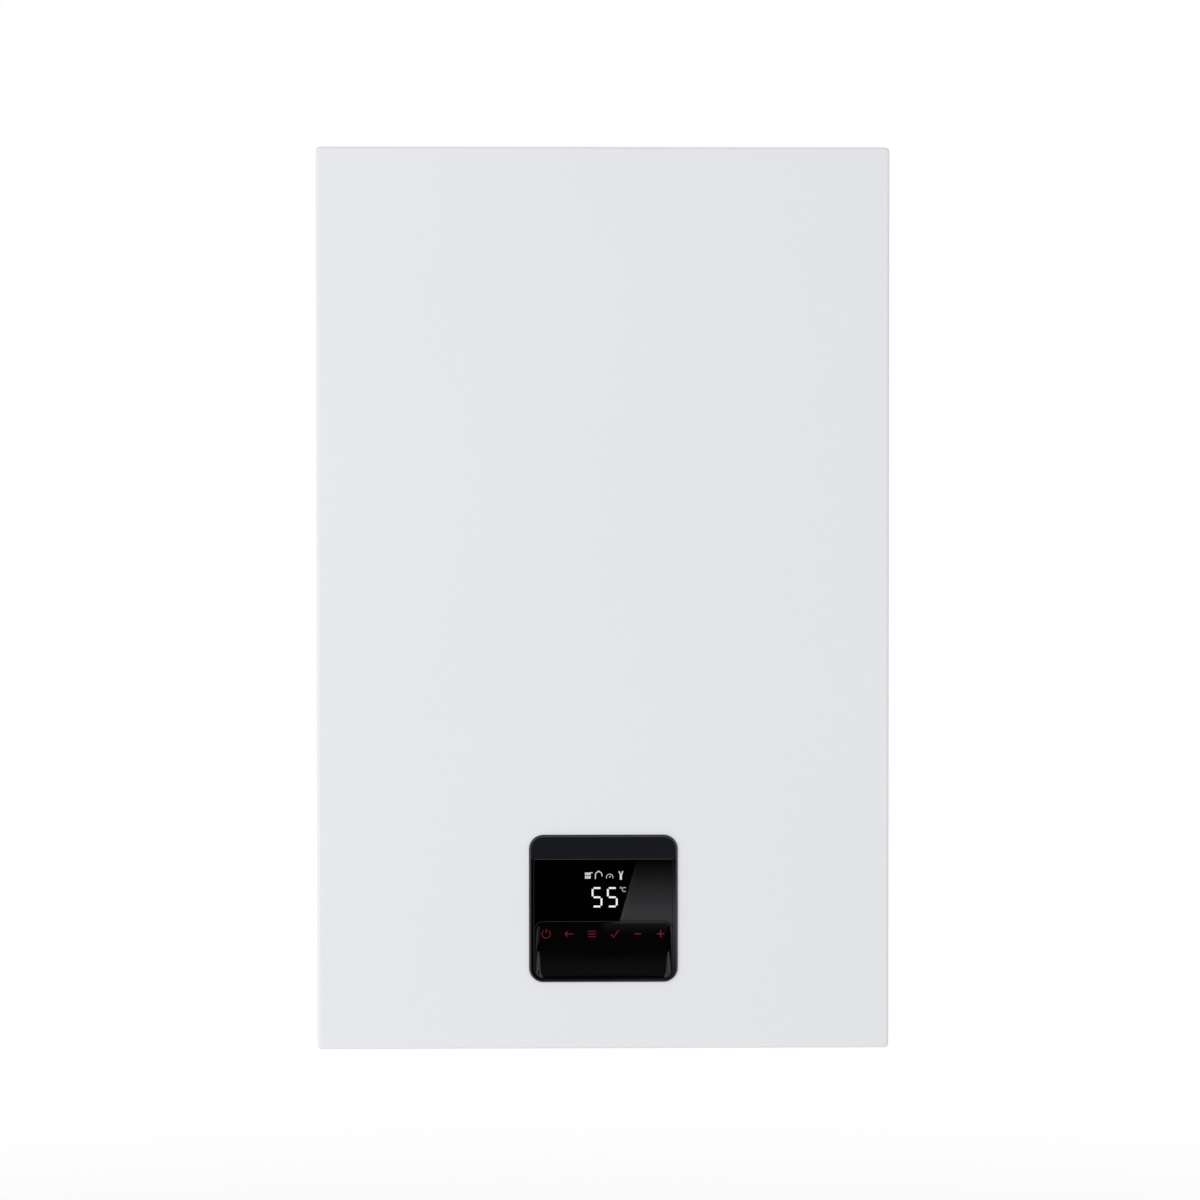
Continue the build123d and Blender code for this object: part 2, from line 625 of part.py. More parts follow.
def bottom_plate():
    """Recessed bottom sheet with pipe holes, a front lip, a rear flange and plate exchanger feet."""
    sheet = FRAME_SHEET
    rear = -FRAME_SHEET - PANEL_SHEET
    rear_half = HALF_WIDTH - REAR_FLANGE
    plate = block((-INNER_X, INNER_X), (PLATE_FRONT_Y, rear), (BOTTOM_PLATE_HEIGHT, PLATE_TOP))
    lip_y = (PLATE_FRONT_Y, PLATE_FRONT_Y + sheet)
    lip = block((-INNER_X, INNER_X), lip_y, (PLATE_TOP, PLATE_TOP + REAR_FLANGE))
    back = block((-rear_half, rear_half), (rear, -sheet), (BOTTOM_PLATE_HEIGHT, PLATE_TOP + REAR_FLANGE))
    body = plate + lip + back
    for side in (-1, 1):
        foot_x = side * (PLATE_HX_HALF_WIDTH - PLATE_FOOT_INSET)
        foot_y = PLATE_HX_FRONT + PLATE_HX_DEPTH / 2
        foot = tube("z", (foot_x, foot_y), FOOT_RADIUS, FOOT_RADIUS - sheet, PLATE_TOP, PLATE_HX_BOTTOM)
        body += foot
    for x, thread in connections():
        body -= rod("z", (x, CONNECTION_Y), thread, BOTTOM_PLATE_HEIGHT, PLATE_TOP)
    holes = (
        ((TRAP_X, TRAP_Y), TRAP_OUTLET),
        ((VALVE_X, CONNECTION_Y), VALVE_OUTLET + FACE_GAP),
        ((TAP_X, CONNECTION_Y), TAP_STEM + FACE_GAP),
    )
    for place, radius in holes:
        body -= rod("z", place, radius, BOTTOM_PLATE_HEIGHT, PLATE_TOP)
    return body


def cross_rail():
    """Channel between the side panels that closes the sealed chamber below."""
    sheet = FRAME_SHEET
    half = STEP_X - SIDE_FLANGE
    behind = FLANGE_Y + PANEL_SHEET
    web = block((-half, half), (FLANGE_Y, FLANGE_Y + sheet), (RAIL_BOTTOM, RAIL_TOP))
    body = web
    for z in ((RAIL_BOTTOM, RAIL_BOTTOM + sheet), (RAIL_TOP - sheet, RAIL_TOP)):
        body += block((-STEP_INNER_X, STEP_INNER_X), (behind, FLANGE_Y + RAIL_DEPTH), z)
    return body


def wall_bracket():
    """Strip that is bolted to the wall first, with an upper hook for the recess and two slots."""
    half = BRACKET_WIDTH / 2
    strip = block((-half, half), (-BRACKET_SHEET, 0), (BRACKET_TOP - BRACKET_HEIGHT, BRACKET_TOP))
    hook = block((-half, half), (-HOOK_DEPTH, -BRACKET_SHEET), (BRACKET_TOP - BRACKET_SHEET, BRACKET_TOP))
    body = strip + hook
    for side in (-1, 1):
        body -= cut_flat_slot(side * SLOT_SPACING / 2, (-BRACKET_SHEET, 0), HANG_LINE)
    return body


def casing_seal():
    """Foam frame between the casing flanges and the back of the cover."""
    depth = (FRONT_Y + PANEL_SHEET + FACE_GAP, FLANGE_Y)
    half = STEP_X - SEAL_INSET
    low = RAIL_BOTTOM + SEAL_INSET
    high = STEP_TOP - SEAL_INSET
    outer = block((-half, half), depth, (low, high))
    inner_half = half - SEAL_WIDTH
    return outer - block((-inner_half, inner_half), depth, (low + SEAL_WIDTH, high - SEAL_WIDTH))


def front_cover():
    """Pressed pan with the panel cut-out, two hooks behind the top and two screw tabs below."""
    sheet = PANEL_SHEET
    pan = block((-HALF_WIDTH, HALF_WIDTH), (FRONT_Y, COVER_BACK_Y), (0, CASING_HEIGHT))
    pan = fillet(pan.edges().filter_by(Axis.Y), COVER_CORNER_RADIUS)
    pan = fillet(pan.faces().sort_by(Axis.Y)[0].edges(), COVER_EDGE_RADIUS)
    hollow = block((-INNER_X, INNER_X), (FRONT_Y + sheet, COVER_BACK_Y), (sheet, UNDER_TOP))
    hollow = fillet(hollow.edges().filter_by(Axis.Y), COVER_CORNER_RADIUS - sheet)
    hollow = fillet(hollow.faces().sort_by(Axis.Y)[0].edges(), COVER_EDGE_RADIUS - sheet)
    hole = RectangleRounded(
        BEZEL_WIDTH + 2 * CUTOUT_GAP, BEZEL_HEIGHT + 2 * CUTOUT_GAP, BEZEL_RADIUS + CUTOUT_GAP
    )
    body = pan - hollow
    body -= facing_plate(hole, (0, PANEL_HEIGHT_ABOVE_BASE), FRONT_Y + sheet, FRONT_Y)
    for side in (-1, 1):
        hook_x = (side * HOOK_X - HOOK_WIDTH / 2, side * HOOK_X + HOOK_WIDTH / 2)
        behind = FRONT_Y + sheet
        foot = block(hook_x, (behind, behind + FRAME_SHEET), (HOOK_Z - HOOK_FOOT, HOOK_Z + FRAME_SHEET))
        arm = block(hook_x, (behind, FLANGE_Y + HOOK_REACH), (HOOK_Z, HOOK_Z + FRAME_SHEET))
        tab_x = (side * TAB_X - TAB_WIDTH / 2, side * TAB_X + TAB_WIDTH / 2)
        rise = block(tab_x, (COVER_BACK_Y - sheet, COVER_BACK_Y), (0, TAB_Z))
        tab = block(tab_x, (COVER_BACK_Y - sheet, SCREW_Y + TAB_WIDTH / 2), (TAB_Z - sheet, TAB_Z))
        hole = rod("z", (side * TAB_X, SCREW_Y), SCREW_RADIUS, TAB_Z - sheet, TAB_Z)
        body += foot + arm + rise + (tab - hole)
    return body


def cover_screws():
    """Two screws, reached from below, that hold the cover's tabs in the open slots of the shelves."""
    screws = []
    for side in (-1, 1):
        place = (side * TAB_X, SCREW_Y)
        under = TAB_Z - PANEL_SHEET
        head = rod("z", place, SCREW_HEAD, under - SCREW_HEAD_HEIGHT, under)
        screws.append(head + rod("z", place, SCREW_RADIUS, under, under + SCREW_LENGTH))
    return screws


# ---- Flue ----
def flue_collar():
    """Air socket under the top plate, with ribs that centre the gas duct."""
    outer = AIR_SOCKET_RADIUS + COLLAR_WALL
    bottom = CASING_HEIGHT - COLLAR_LENGTH
    centre = (0, FLUE_Y)
    body = tube("z", centre, outer, AIR_SOCKET_RADIUS, bottom, CASING_HEIGHT)
    flange_low = UNDER_TOP - COLLAR_FLANGE_THICKNESS
    body += tube("z", centre, COLLAR_FLANGE, AIR_SOCKET_RADIUS, flange_low, UNDER_TOP)
    ring_outer = FLUE_DUCT_RADIUS + COLLAR_WALL
    ring_z = (bottom, bottom + RING_HEIGHT)
    body += tube("z", centre, ring_outer, FLUE_DUCT_RADIUS, *ring_z)
    rib_x = (FLUE_DUCT_RADIUS + COLLAR_WALL / 2, AIR_SOCKET_RADIUS + COLLAR_WALL / 2)
    for index in range(3):
        rib = block(rib_x, (-RIB / 2, RIB / 2), ring_z)
        body += Pos(0, FLUE_Y, 0) * Rot(0, 0, 90 + 120 * index) * rib
    return body


def flue_duct():
    """Inner duct from the heat cell to the socket; its belled upper end takes the flue pipe."""
    centre = (0, FLUE_Y)
    inner = FLUE_DUCT_RADIUS - FLUE_DUCT_WALL
    bottom = SPIGOT_TOP - SPIGOT_LAP
    bell_outer = BELL_RADIUS + FLUE_DUCT_WALL
    step_z = CASING_HEIGHT - BELL_LENGTH
    straight = tube("z", centre, FLUE_DUCT_RADIUS, inner, bottom, step_z)
    bell = tube("z", centre, bell_outer, BELL_RADIUS, step_z, CASING_HEIGHT)
    step = tube("z", centre, bell_outer, inner, step_z - FLUE_DUCT_WALL, step_z)
    return straight + bell + step


# ---- Heat cell ----
def cell_rod(radius, start, end):
    """Cylinder on the axis of the heat cell."""
    return rod("y", (CELL_X, CELL_Z), radius, start, end)


def heat_exchanger_shell():
    """Round shell with a back wall, front flange, flue spigot, two water ports and a drain."""
    outer = cell_rod(CELL_RADIUS, CELL_FRONT, CELL_BACK)
    inner = cell_rod(CELL_RADIUS - CELL_WALL, CELL_FRONT, CELL_BACK - CELL_WALL)
    spigot_reach = CELL_X + FLUE_DUCT_RADIUS + CELL_WALL
    spigot_start = CELL_Z + sqrt(CELL_RADIUS**2 - spigot_reach**2) - CELL_WALL
    outer += rod("z", (0, FLUE_Y), FLUE_DUCT_RADIUS + CELL_WALL, spigot_start, SPIGOT_TOP)
    inner += rod("z", (0, FLUE_Y), FLUE_DUCT_RADIUS, spigot_start, SPIGOT_TOP)
    for place in ((CELL_X - PORT_OFFSET, FLOW_Y), (CELL_X + PORT_OFFSET, RETURN_Y)):
        outer += rod("z", place, PORT_RADIUS, PORT_Z - PORT_DROP, PORT_Z + PORT_RADIUS)
        inner += rod("z", place, PORT_BORE, PORT_Z - PORT_DROP, CELL_Z)
    drain_z = CELL_Z - CELL_RADIUS
    outer += rod("z", (CELL_X, DRAIN_Y), HOSE_RADIUS, drain_z - DRAIN_DROP, drain_z + CELL_WALL)
    inner += rod("z", (CELL_X, DRAIN_Y), HOSE_RADIUS - HOSE_WALL, drain_z - DRAIN_DROP, CELL_Z)
    flange_inner = CELL_RADIUS - CELL_FLANGE
    flange = cell_rod(CELL_RADIUS, CELL_FRONT, CELL_FRONT + CELL_FLANGE)
    flange -= cell_rod(flange_inner, CELL_FRONT, CELL_FRONT + CELL_FLANGE)
    body = outer - inner + flange
    for x, z in door_bolt_places():
        body -= rod("y", (x, z), BOLT_RADIUS, CELL_FRONT, CELL_FRONT + BOLT_GRIP)
    return body


def door_bolt_places():
    """Centres of the bolts round the door."""
    circle = CELL_RADIUS - CELL_FLANGE / 2
    turns = [radians(angle) for angle in DOOR_BOLT_ANGLES]
    return [(CELL_X + circle * cos(turn), CELL_Z + circle * sin(turn)) for turn in turns]


def door_bolts():
    """Hexagon bolts that hold the door to the shell's flange."""
    bolts = []
    for x, z in door_bolt_places():
        shank = rod("y", (x, z), BOLT_RADIUS, DOOR_FRONT, CELL_FRONT + BOLT_GRIP)
        head = facing_plate(RegularPolygon(BOLT_HEAD, 6), (x, z), DOOR_FRONT, DOOR_FRONT - BOLT_HEAD_HEIGHT)
        bolts.append(shank + head)
    return bolts


def heat_exchanger_coil():
    """One tube wound round the burner inside the shell."""
    start_y = CELL_BACK - CELL_WALL - COIL_TUBE - FACE_GAP
    wire = Helix(
        pitch=COIL_PITCH,
        height=COIL_PITCH * COIL_TURNS,
        radius=COIL_RADIUS,
        center=(CELL_X, start_y, CELL_Z),
        direction=(0, -1, 0),
    )
    section = Plane(origin=wire @ 0, z_dir=wire % 0)
    body = sweep(section * (Circle(COIL_TUBE) - Circle(COIL_TUBE - PIPE_WALL)), path=wire, is_frenet=True)
    length = COIL_TURNS * hypot(2 * pi * COIL_RADIUS, COIL_PITCH)
    area = pi * (COIL_TUBE**2 - (COIL_TUBE - PIPE_WALL) ** 2)
    print("coil: volume", round(body.volume), "expected", round(area * length))
    print("coil: least gap between turns", round(COIL_PITCH - 2 * COIL_TUBE, 2))
    return body


def duct_x():
    """Side limits of the duct from the fan, along the tangent of the housing."""
    right = FAN_X + FAN_RADIUS
    return right - DUCT_WIDTH, right


def burner_door():
    """Cast door with the mixture channel that carries the fan and feeds the burner."""
    wall = CHANNEL_WALL
    left, right = duct_x()
    channel_x = (left, CELL_X + BURNER_RADIUS + wall)
    channel_z = (FAN_BOTTOM, FAN_TOP)
    disc = cell_rod(CELL_RADIUS, DOOR_FRONT, CELL_FRONT)
    channel = block(channel_x, (CHANNEL_FRONT, DOOR_FRONT + wall), channel_z)
    channel = fillet(channel.edges().filter_by(Axis.Y), wall)
    inner_z = (FAN_BOTTOM + wall, FAN_TOP - wall)
    hollow = block((left + wall, channel_x[1] - wall), (CHANNEL_FRONT + wall, DOOR_FRONT), inner_z)
    inlet = block((left + wall, right - wall), (DOOR_FRONT, DOOR_FRONT + wall), inner_z)
    body = disc + channel - hollow - inlet
    mouth = Rectangle(2 * (BURNER_RADIUS - wall), FAN_HEIGHT - 2 * wall)
    body -= facing_plate(mouth, (CELL_X, CELL_Z), CELL_FRONT, DOOR_FRONT) & cell_rod(
        BURNER_RADIUS - wall, DOOR_FRONT, CELL_FRONT
    )
    body -= rod("y", (ELECTRODE_X, ELECTRODE_Z), ELECTRODE_RADIUS, DOOR_FRONT, CELL_FRONT)
    for x, z in door_bolt_places():
        body -= rod("y", (x, z), BOLT_RADIUS, DOOR_FRONT, CELL_FRONT)
    return body


def door_insulation():
    """Ceramic fibre disc behind the door."""
    back = CELL_FRONT + INSULATION
    body = cell_rod(CELL_RADIUS - CELL_FLANGE, CELL_FRONT, back) - cell_rod(BURNER_RADIUS, CELL_FRONT, back)
    return body - rod("y", (ELECTRODE_X, ELECTRODE_Z), ELECTRODE_RADIUS, CELL_FRONT, back)


def burner_tube():
    """Closed burner sleeve on the back of the door."""
    back = CELL_FRONT + BURNER_LENGTH
    body = cell_rod(BURNER_RADIUS, CELL_FRONT, back)
    return body - cell_rod(BURNER_RADIUS - PIPE_WALL, CELL_FRONT, back - PIPE_WALL)


def ignition_electrode():
    """Ceramic insulator through the door with its wire tip bent towards the burner."""
    place = (ELECTRODE_X, ELECTRODE_Z)
    tip_y = CELL_FRONT + INSULATION + ELECTRODE_REACH
    body = rod("y", place, ELECTRODE_RADIUS, DOOR_FRONT - ELECTRODE_STUB, CELL_FRONT + INSULATION)
    return body + rod("y", place, ELECTRODE_WIRE, CELL_FRONT + INSULATION, tip_y)


# ---- Fan and gas train ----
def fan_rod(radius, start, end):
    """Cylinder on the axis of the fan."""
    return rod("z", (FAN_X, FAN_Y), radius, start, end)


def fan_housing():
    """Round housing with a tangent outlet duct, an inlet below and a shaft hole above."""
    wall = FAN_WALL
    left, right = duct_x()
    duct_front = DOOR_FRONT + CHANNEL_WALL
    outer = fan_rod(FAN_RADIUS, FAN_BOTTOM, FAN_TOP)
    outer += block((left, right), (duct_front, FAN_Y), (FAN_BOTTOM, FAN_TOP))
    inner_z = (FAN_BOTTOM + wall, FAN_TOP - wall)
    inner = fan_rod(FAN_RADIUS - wall, *inner_z)
    inner += block((left + wall, right - wall), (duct_front, FAN_Y), inner_z)
    inner += fan_rod(FAN_INLET, FAN_BOTTOM, FAN_BOTTOM + wall)
    inner += fan_rod(FAN_SHAFT + SHAFT_HOLE_GAP, FAN_TOP - wall, FAN_TOP)
    return outer - inner


def fan_impeller():
    """Back disc with straight blades on a hub, and the shaft up into the motor."""
    low = FAN_BOTTOM + 2 * FAN_WALL
    high = FAN_TOP - 2 * FAN_WALL
    disc = fan_rod(IMPELLER_RADIUS, high - FAN_DISC, high)
    body = disc + fan_rod(FAN_HUB, low + FAN_DISC, high)
    body += fan_rod(FAN_SHAFT, high, FAN_TOP + FAN_SHAFT_REACH)
    blade_x = (IMPELLER_RADIUS / 2, IMPELLER_RADIUS - BLADE_TIP)
    blade = block(blade_x, (-BLADE / 2, BLADE / 2), (low, high - FAN_DISC))
    for index in range(IMPELLER_BLADES):
        body += Pos(FAN_X, FAN_Y, 0) * Rot(0, 0, 360 / IMPELLER_BLADES * index) * blade
    return body


def fan_motor():
    """Motor on the housing with a flange and a bearing bore."""
    top = FAN_TOP + FAN_MOTOR_HEIGHT
    can = fan_rod(FAN_MOTOR_RADIUS, FAN_TOP, top)
    can = fillet(can.edges().sort_by(Axis.Z)[-1], FAN_MOTOR_FILLET)
    flange = fan_rod(FAN_MOTOR_RADIUS + FAN_MOTOR_FLANGE, FAN_TOP, FAN_TOP + FAN_WALL)
    bore = fan_rod(FAN_SHAFT + SHAFT_CLEARANCE, FAN_TOP, FAN_TOP + FAN_SHAFT_REACH + FAN_BORE_SPARE)
    return can + flange - bore


def venturi():
    """Mixer below the fan: air enters from the side and gas from below."""
    body = fan_rod(VENTURI_RADIUS, VENTURI_BOTTOM, FAN_BOTTOM)
    centre = (FAN_Y, VENTURI_BOTTOM + VENTURI_HEIGHT / 2)
    body += rod("x", centre, AIR_SPIGOT, FAN_X - VENTURI_RADIUS - AIR_SPIGOT_LENGTH, FAN_X)
    body -= fan_rod(FAN_INLET, VENTURI_BOTTOM + VENTURI_FLOOR, FAN_BOTTOM)
    body -= rod("x", centre, AIR_BORE, FAN_X - VENTURI_RADIUS - AIR_SPIGOT_LENGTH, FAN_X)
    return body - fan_rod(GAS_BORE, VENTURI_BOTTOM, VENTURI_BOTTOM + VENTURI_FLOOR)


def air_silencer():
    """Flat intake box beside the mixer, open below."""
    right = FAN_X - VENTURI_RADIUS - AIR_SPIGOT_LENGTH
    left = -INNER_X + SILENCER_GAP
    wall = PIPE_WALL * 2
    middle_z = VENTURI_BOTTOM + VENTURI_HEIGHT / 2
    y = (FAN_Y - SILENCER_HALF_DEPTH, FAN_Y + SILENCER_HALF_DEPTH)
    z = (FAN_BOTTOM - SILENCER_GAP * 2 - SILENCER_HEIGHT, FAN_BOTTOM - SILENCER_GAP * 2)
    body = block((left, right), y, z)
    body = fillet(body.edges().filter_by(Axis.X), SILENCER_FILLET)
    hollow = block((left + wall, right - wall), (y[0] + wall, y[1] - wall), (z[0] + wall, z[1] - wall))
    margin = SILENCER_MOUTH_MARGIN
    mouth = block((left + 2 * wall, right - 2 * wall), (y[0] + margin, y[1] - margin), (z[0], z[0] + wall))
    return body - hollow - mouth - rod("x", (FAN_Y, middle_z), AIR_BORE, right - wall, right)


def gas_x():
    """Places of the two coils across the gas valve."""
    return FAN_X - GAS_BLOCK_WIDTH / 4, FAN_X + GAS_BLOCK_WIDTH / 4


def gas_valve_body():
    """Cast block with an outlet above, an inlet below and the plunger bore."""
    half_width = GAS_BLOCK_WIDTH / 2
    half_depth = GAS_BLOCK_DEPTH / 2
    x = (FAN_X - half_width, FAN_X + half_width)
    body = block(x, (FAN_Y - half_depth, FAN_Y + half_depth), (GAS_BOTTOM, GAS_TOP))
    body = fillet(body.edges().filter_by(Axis.Z), GAS_FILLET)
    body += fan_rod(GAS_SPIGOT, GAS_TOP, VENTURI_BOTTOM)
    body += fan_rod(GAS_SPIGOT, GAS_BOTTOM - GAS_INLET, GAS_BOTTOM)
    body -= fan_rod(GAS_BORE, GAS_BOTTOM - GAS_INLET, VENTURI_BOTTOM)
    front = FAN_Y - half_depth
    place = (gas_x()[0], (GAS_BOTTOM + GAS_TOP) / 2)
    return body - rod("y", place, PLUNGER_RADIUS + SHAFT_CLEARANCE, front, front + PLUNGER_SEAT)


def gas_valve_coils():
    """Two coils on the front of the gas valve; the left one holds the plunger."""
    front = FAN_Y - GAS_BLOCK_DEPTH / 2
    coils = []
    for x in gas_x():
        place = (x, (GAS_BOTTOM + GAS_TOP) / 2)
        coil = rod("y", place, GAS_COIL_RADIUS, front - GAS_COIL_LENGTH, front)
        coils.append(coil - rod("y", place, PLUNGER_RADIUS + SHAFT_CLEARANCE, front - PLUNGER_REACH, front))
    return coils


def gas_valve_plunger():
    """Armature that slides in the left coil."""
    front = FAN_Y - GAS_BLOCK_DEPTH / 2
    place = (gas_x()[0], (GAS_BOTTOM + GAS_TOP) / 2)
    tip = front - PLUNGER_REACH + PLUNGER_TRAVEL + FACE_GAP
    return rod("y", place, PLUNGER_RADIUS, tip, front + PLUNGER_SEAT)


def gas_pipe():
    """Pipe from the gas connection up to the gas valve."""
    turn_z = GAS_BOTTOM - GAS_INLET - GAS_TURN
    points = [
        (0, CONNECTION_Y, NIPPLE_TOP),
        (0, CONNECTION_Y, turn_z),
        (FAN_X, FAN_Y, turn_z),
        (FAN_X, FAN_Y, GAS_BOTTOM - GAS_INLET),
    ]
    return pipe(points, PIPE_RADIUS, PIPE_WALL, PIPE_BEND)


# ---- Expansion vessel ----
def vessel_body(inset):
    """Flat round form of the vessel, drawn in by an inset."""
    depth = (VESSEL_FRONT + inset, -FRAME_SHEET - inset)
    body = rod("y", (0, VESSEL_Z), VESSEL_RADIUS - inset, *depth)
    return fillet(body.edges().filter_by(GeomType.CIRCLE), VESSEL_EDGE - inset)


def expansion_vessel():
    """Flat round shell with its water port below."""
    place = (VESSEL_PORT_X, VESSEL_PORT_Y)
    low = VESSEL_Z - VESSEL_RADIUS - VESSEL_PORT_DROP
    high = VESSEL_Z - sqrt(VESSEL_RADIUS**2 - VESSEL_PORT_X**2) + VESSEL_PORT
    bore = rod("z", place, VESSEL_PORT - HOSE_WALL, low, high + VESSEL_PORT)
    return vessel_body(0) + rod("z", place, VESSEL_PORT, low, high) - vessel_body(VESSEL_SHELL) - bore


def expansion_diaphragm():
    """Rubber disc that parts the gas side from the water side."""
    centre = (0, VESSEL_Z)
    return rod("y", centre, VESSEL_RADIUS - VESSEL_SHELL, DIAPHRAGM_Y - DIAPHRAGM_THICKNESS, DIAPHRAGM_Y)


def expansion_hose():
    """Hose from the vessel to the return side of the pump housing."""
    low = VESSEL_Z - VESSEL_RADIUS - VESSEL_PORT_DROP
    points = [
        (VESSEL_PORT_X, VESSEL_PORT_Y, low),
        (VESSEL_PORT_X, VESSEL_PORT_Y, HOSE_TURN_Z),
        (ARM_X, HOSE_BOSS_Y, HOSE_TURN_Z),
        (ARM_X, HOSE_BOSS_Y, HOSE_BOSS_TOP),
    ]
    return pipe(points, VESSEL_PORT, HOSE_WALL, HOSE_BEND)


# ---- Connections and hydraulics ----
def connections():
    """Place and thread radius of the five pipe connections, from left to right."""
    return [
        (FLOW_X, THREAD_LARGE),
        (HOT_X, THREAD_SMALL),
        (0.0, THREAD_LARGE),
        (COLD_X, THREAD_SMALL),
        (RETURN_X, THREAD_LARGE),
    ]


def connection_nipples():
    """Threaded nipples through the bottom sheet, each with its hexagon below it."""
    nipples = []
    for x, thread in connections():
        centre = (x, CONNECTION_Y)
        body = rod("z", centre, thread, NIPPLE_BOTTOM, NIPPLE_TOP)
        hexagon = extrude(RegularPolygon(thread + NUT_EXTRA, 6), amount=NUT_HEIGHT)
        body += Pos(x, CONNECTION_Y, BOTTOM_PLATE_HEIGHT - NUT_HEIGHT) * hexagon
        nipples.append(body - rod("z", centre, thread - NIPPLE_WALL, NIPPLE_BOTTOM, NIPPLE_TOP))
    return nipples


def arm_pair(side, radius):
    """Elbow from a manifold to the lower port of the plate exchanger on one side."""
    x = side * ARM_X
    body = rod("x", (CONNECTION_Y, ARM_Z), radius, *sorted((x, side * RETURN_X)))
    body += rod("y", (x, ARM_Z), radius, CONNECTION_Y, PLATE_HX_FRONT)
    return body + Pos(x, CONNECTION_Y, ARM_Z) * Sphere(radius)


def manifold_tube(x, top, bore_top):
    """Upright tube above a connection, and the tool for its bore."""
    centre = (x, CONNECTION_Y)
    bore = rod("z", centre, MANIFOLD_BORE, NIPPLE_TOP, bore_top)
    return rod("z", centre, MANIFOLD_RADIUS, NIPPLE_TOP, top), bore


def flow_manifold():
    """Moulded block on the left: diverter chamber, flow stub and the tap water outlet elbow."""
    body, bore = manifold_tube(FLOW_X, DIVERTER_TOP, DIVERTER_TOP - GLAND)
    body += rod("x", (FLOW_Y, FLOW_STUB_Z), PORT_RADIUS, FLOW_X, FLOW_STUB_X) + arm_pair(-1, ARM_RADIUS)
    body += rod("z", (HOT_X, CONNECTION_Y), SENSOR_TUBE, NIPPLE_TOP, HOT_ARM_Z + SENSOR_TUBE)
    body += rod("y", (HOT_X, HOT_ARM_Z), HOT_ARM_RADIUS, CONNECTION_Y, PLATE_HX_FRONT)
    web_z = ARM_Z + ARM_RADIUS + PIPE_WALL
    body += block((FLOW_X, HOT_X), (CONNECTION_Y - WEB, CONNECTION_Y + WEB), (web_z, web_z + 5 * WEB))
    bore += rod("x", (FLOW_Y, FLOW_STUB_Z), PORT_BORE, FLOW_X, FLOW_STUB_X)
    bore += arm_pair(-1, ARM_RADIUS - HOSE_WALL)
    hot_bore = SENSOR_TUBE - CHANNEL_WALL
    bore += rod("z", (HOT_X, CONNECTION_Y), hot_bore, NIPPLE_TOP, HOT_ARM_Z + HOT_ARM_RADIUS)
    bore += rod("y", (HOT_X, HOT_ARM_Z), HOT_ARM_RADIUS - CHANNEL_WALL, CONNECTION_Y, PLATE_HX_FRONT)
    stem_bore = SPINDLE_RADIUS + SHAFT_CLEARANCE
    bore += rod("z", (FLOW_X, CONNECTION_Y), stem_bore, DIVERTER_TOP - GLAND, DIVERTER_TOP)
    return body - bore


def diverter_spindle():
    """Valve disc on its stem, between the heating and the tap water side."""
    centre = (FLOW_X, CONNECTION_Y)
    low = DIVERTER_TOP - SPINDLE_DROP
    body = rod("z", centre, SPINDLE_DISC, low, low + SPINDLE_DISC_HEIGHT)
    return body + rod("z", centre, SPINDLE_RADIUS, low, DIVERTER_TOP + SPINDLE_RISE)


def diverter_actuator():
    """Motor head on the diverter, with the bore for the stem."""
    half = ACTUATOR_WIDTH / 2
    x = (FLOW_X - half, FLOW_X + half)
    y = (CONNECTION_Y - half, CONNECTION_Y + half)
    body = block(x, y, (DIVERTER_TOP, DIVERTER_TOP + ACTUATOR_HEIGHT))
    body = fillet(body.edges().filter_by(Axis.Z), ACTUATOR_FILLET)
    bore_top = DIVERTER_TOP + SPINDLE_RISE + SPINDLE_TRAVEL + FACE_GAP
    return body - rod("z", (FLOW_X, CONNECTION_Y), SPINDLE_RADIUS + SHAFT_CLEARANCE, DIVERTER_TOP, bore_top)


def pump_rod(radius, start, end):
    """Cylinder on the axis of the pump."""
    return rod("y", (PUMP_X, PUMP_Z), radius, start, end)


def pump_housing():
    """Moulded block on the right: volute, return tube, vent, valve and hose bosses and elbow."""
    tube_body, bore = manifold_tube(RETURN_X, PUMP_Z - PUMP_RADIUS / 2, PUMP_Z - PUMP_RADIUS / 2)
    body = pump_rod(PUMP_RADIUS, PUMP_FRONT, PUMP_BACK) + tube_body + arm_pair(1, ARM_RADIUS)
    body += rod("z", (PUMP_X, RETURN_Y), PORT_RADIUS, PUMP_Z, RETURN_STUB_TOP)
    body += rod("z", (VENT_X, RETURN_Y), VENT_BOSS, PUMP_Z, VENT_BOTTOM)
    body += rod("x", (CONNECTION_Y, VALVE_ARM_Z), VALVE_OUTLET, RETURN_X, VALVE_X - VALVE_RADIUS - VALVE_NECK)
    body += rod("z", (ARM_X, HOSE_BOSS_Y), VESSEL_PORT, ARM_Z, HOSE_BOSS_TOP)
    bore += pump_rod(PUMP_RADIUS - PUMP_WALL, PUMP_FRONT + PUMP_WALL, PUMP_BACK - PUMP_WALL)
    bore += pump_rod(PUMP_SHAFT + SHAFT_HOLE_GAP, PUMP_FRONT, PUMP_FRONT + PUMP_WALL)
    bore += arm_pair(1, ARM_RADIUS - HOSE_WALL)
    bore += rod("z", (PUMP_X, RETURN_Y), PORT_BORE, PUMP_Z, RETURN_STUB_TOP)
    bore += rod("x", (CONNECTION_Y, VALVE_ARM_Z), VALVE_OUTLET - HOSE_WALL, RETURN_X, VALVE_X)
    bore += rod("z", (ARM_X, HOSE_BOSS_Y), VESSEL_PORT - HOSE_WALL, ARM_Z, HOSE_BOSS_TOP)
    bore += rod("z", (VENT_X, RETURN_Y), VENT_HOLE, PUMP_Z, VENT_BOTTOM)
    return body - bore


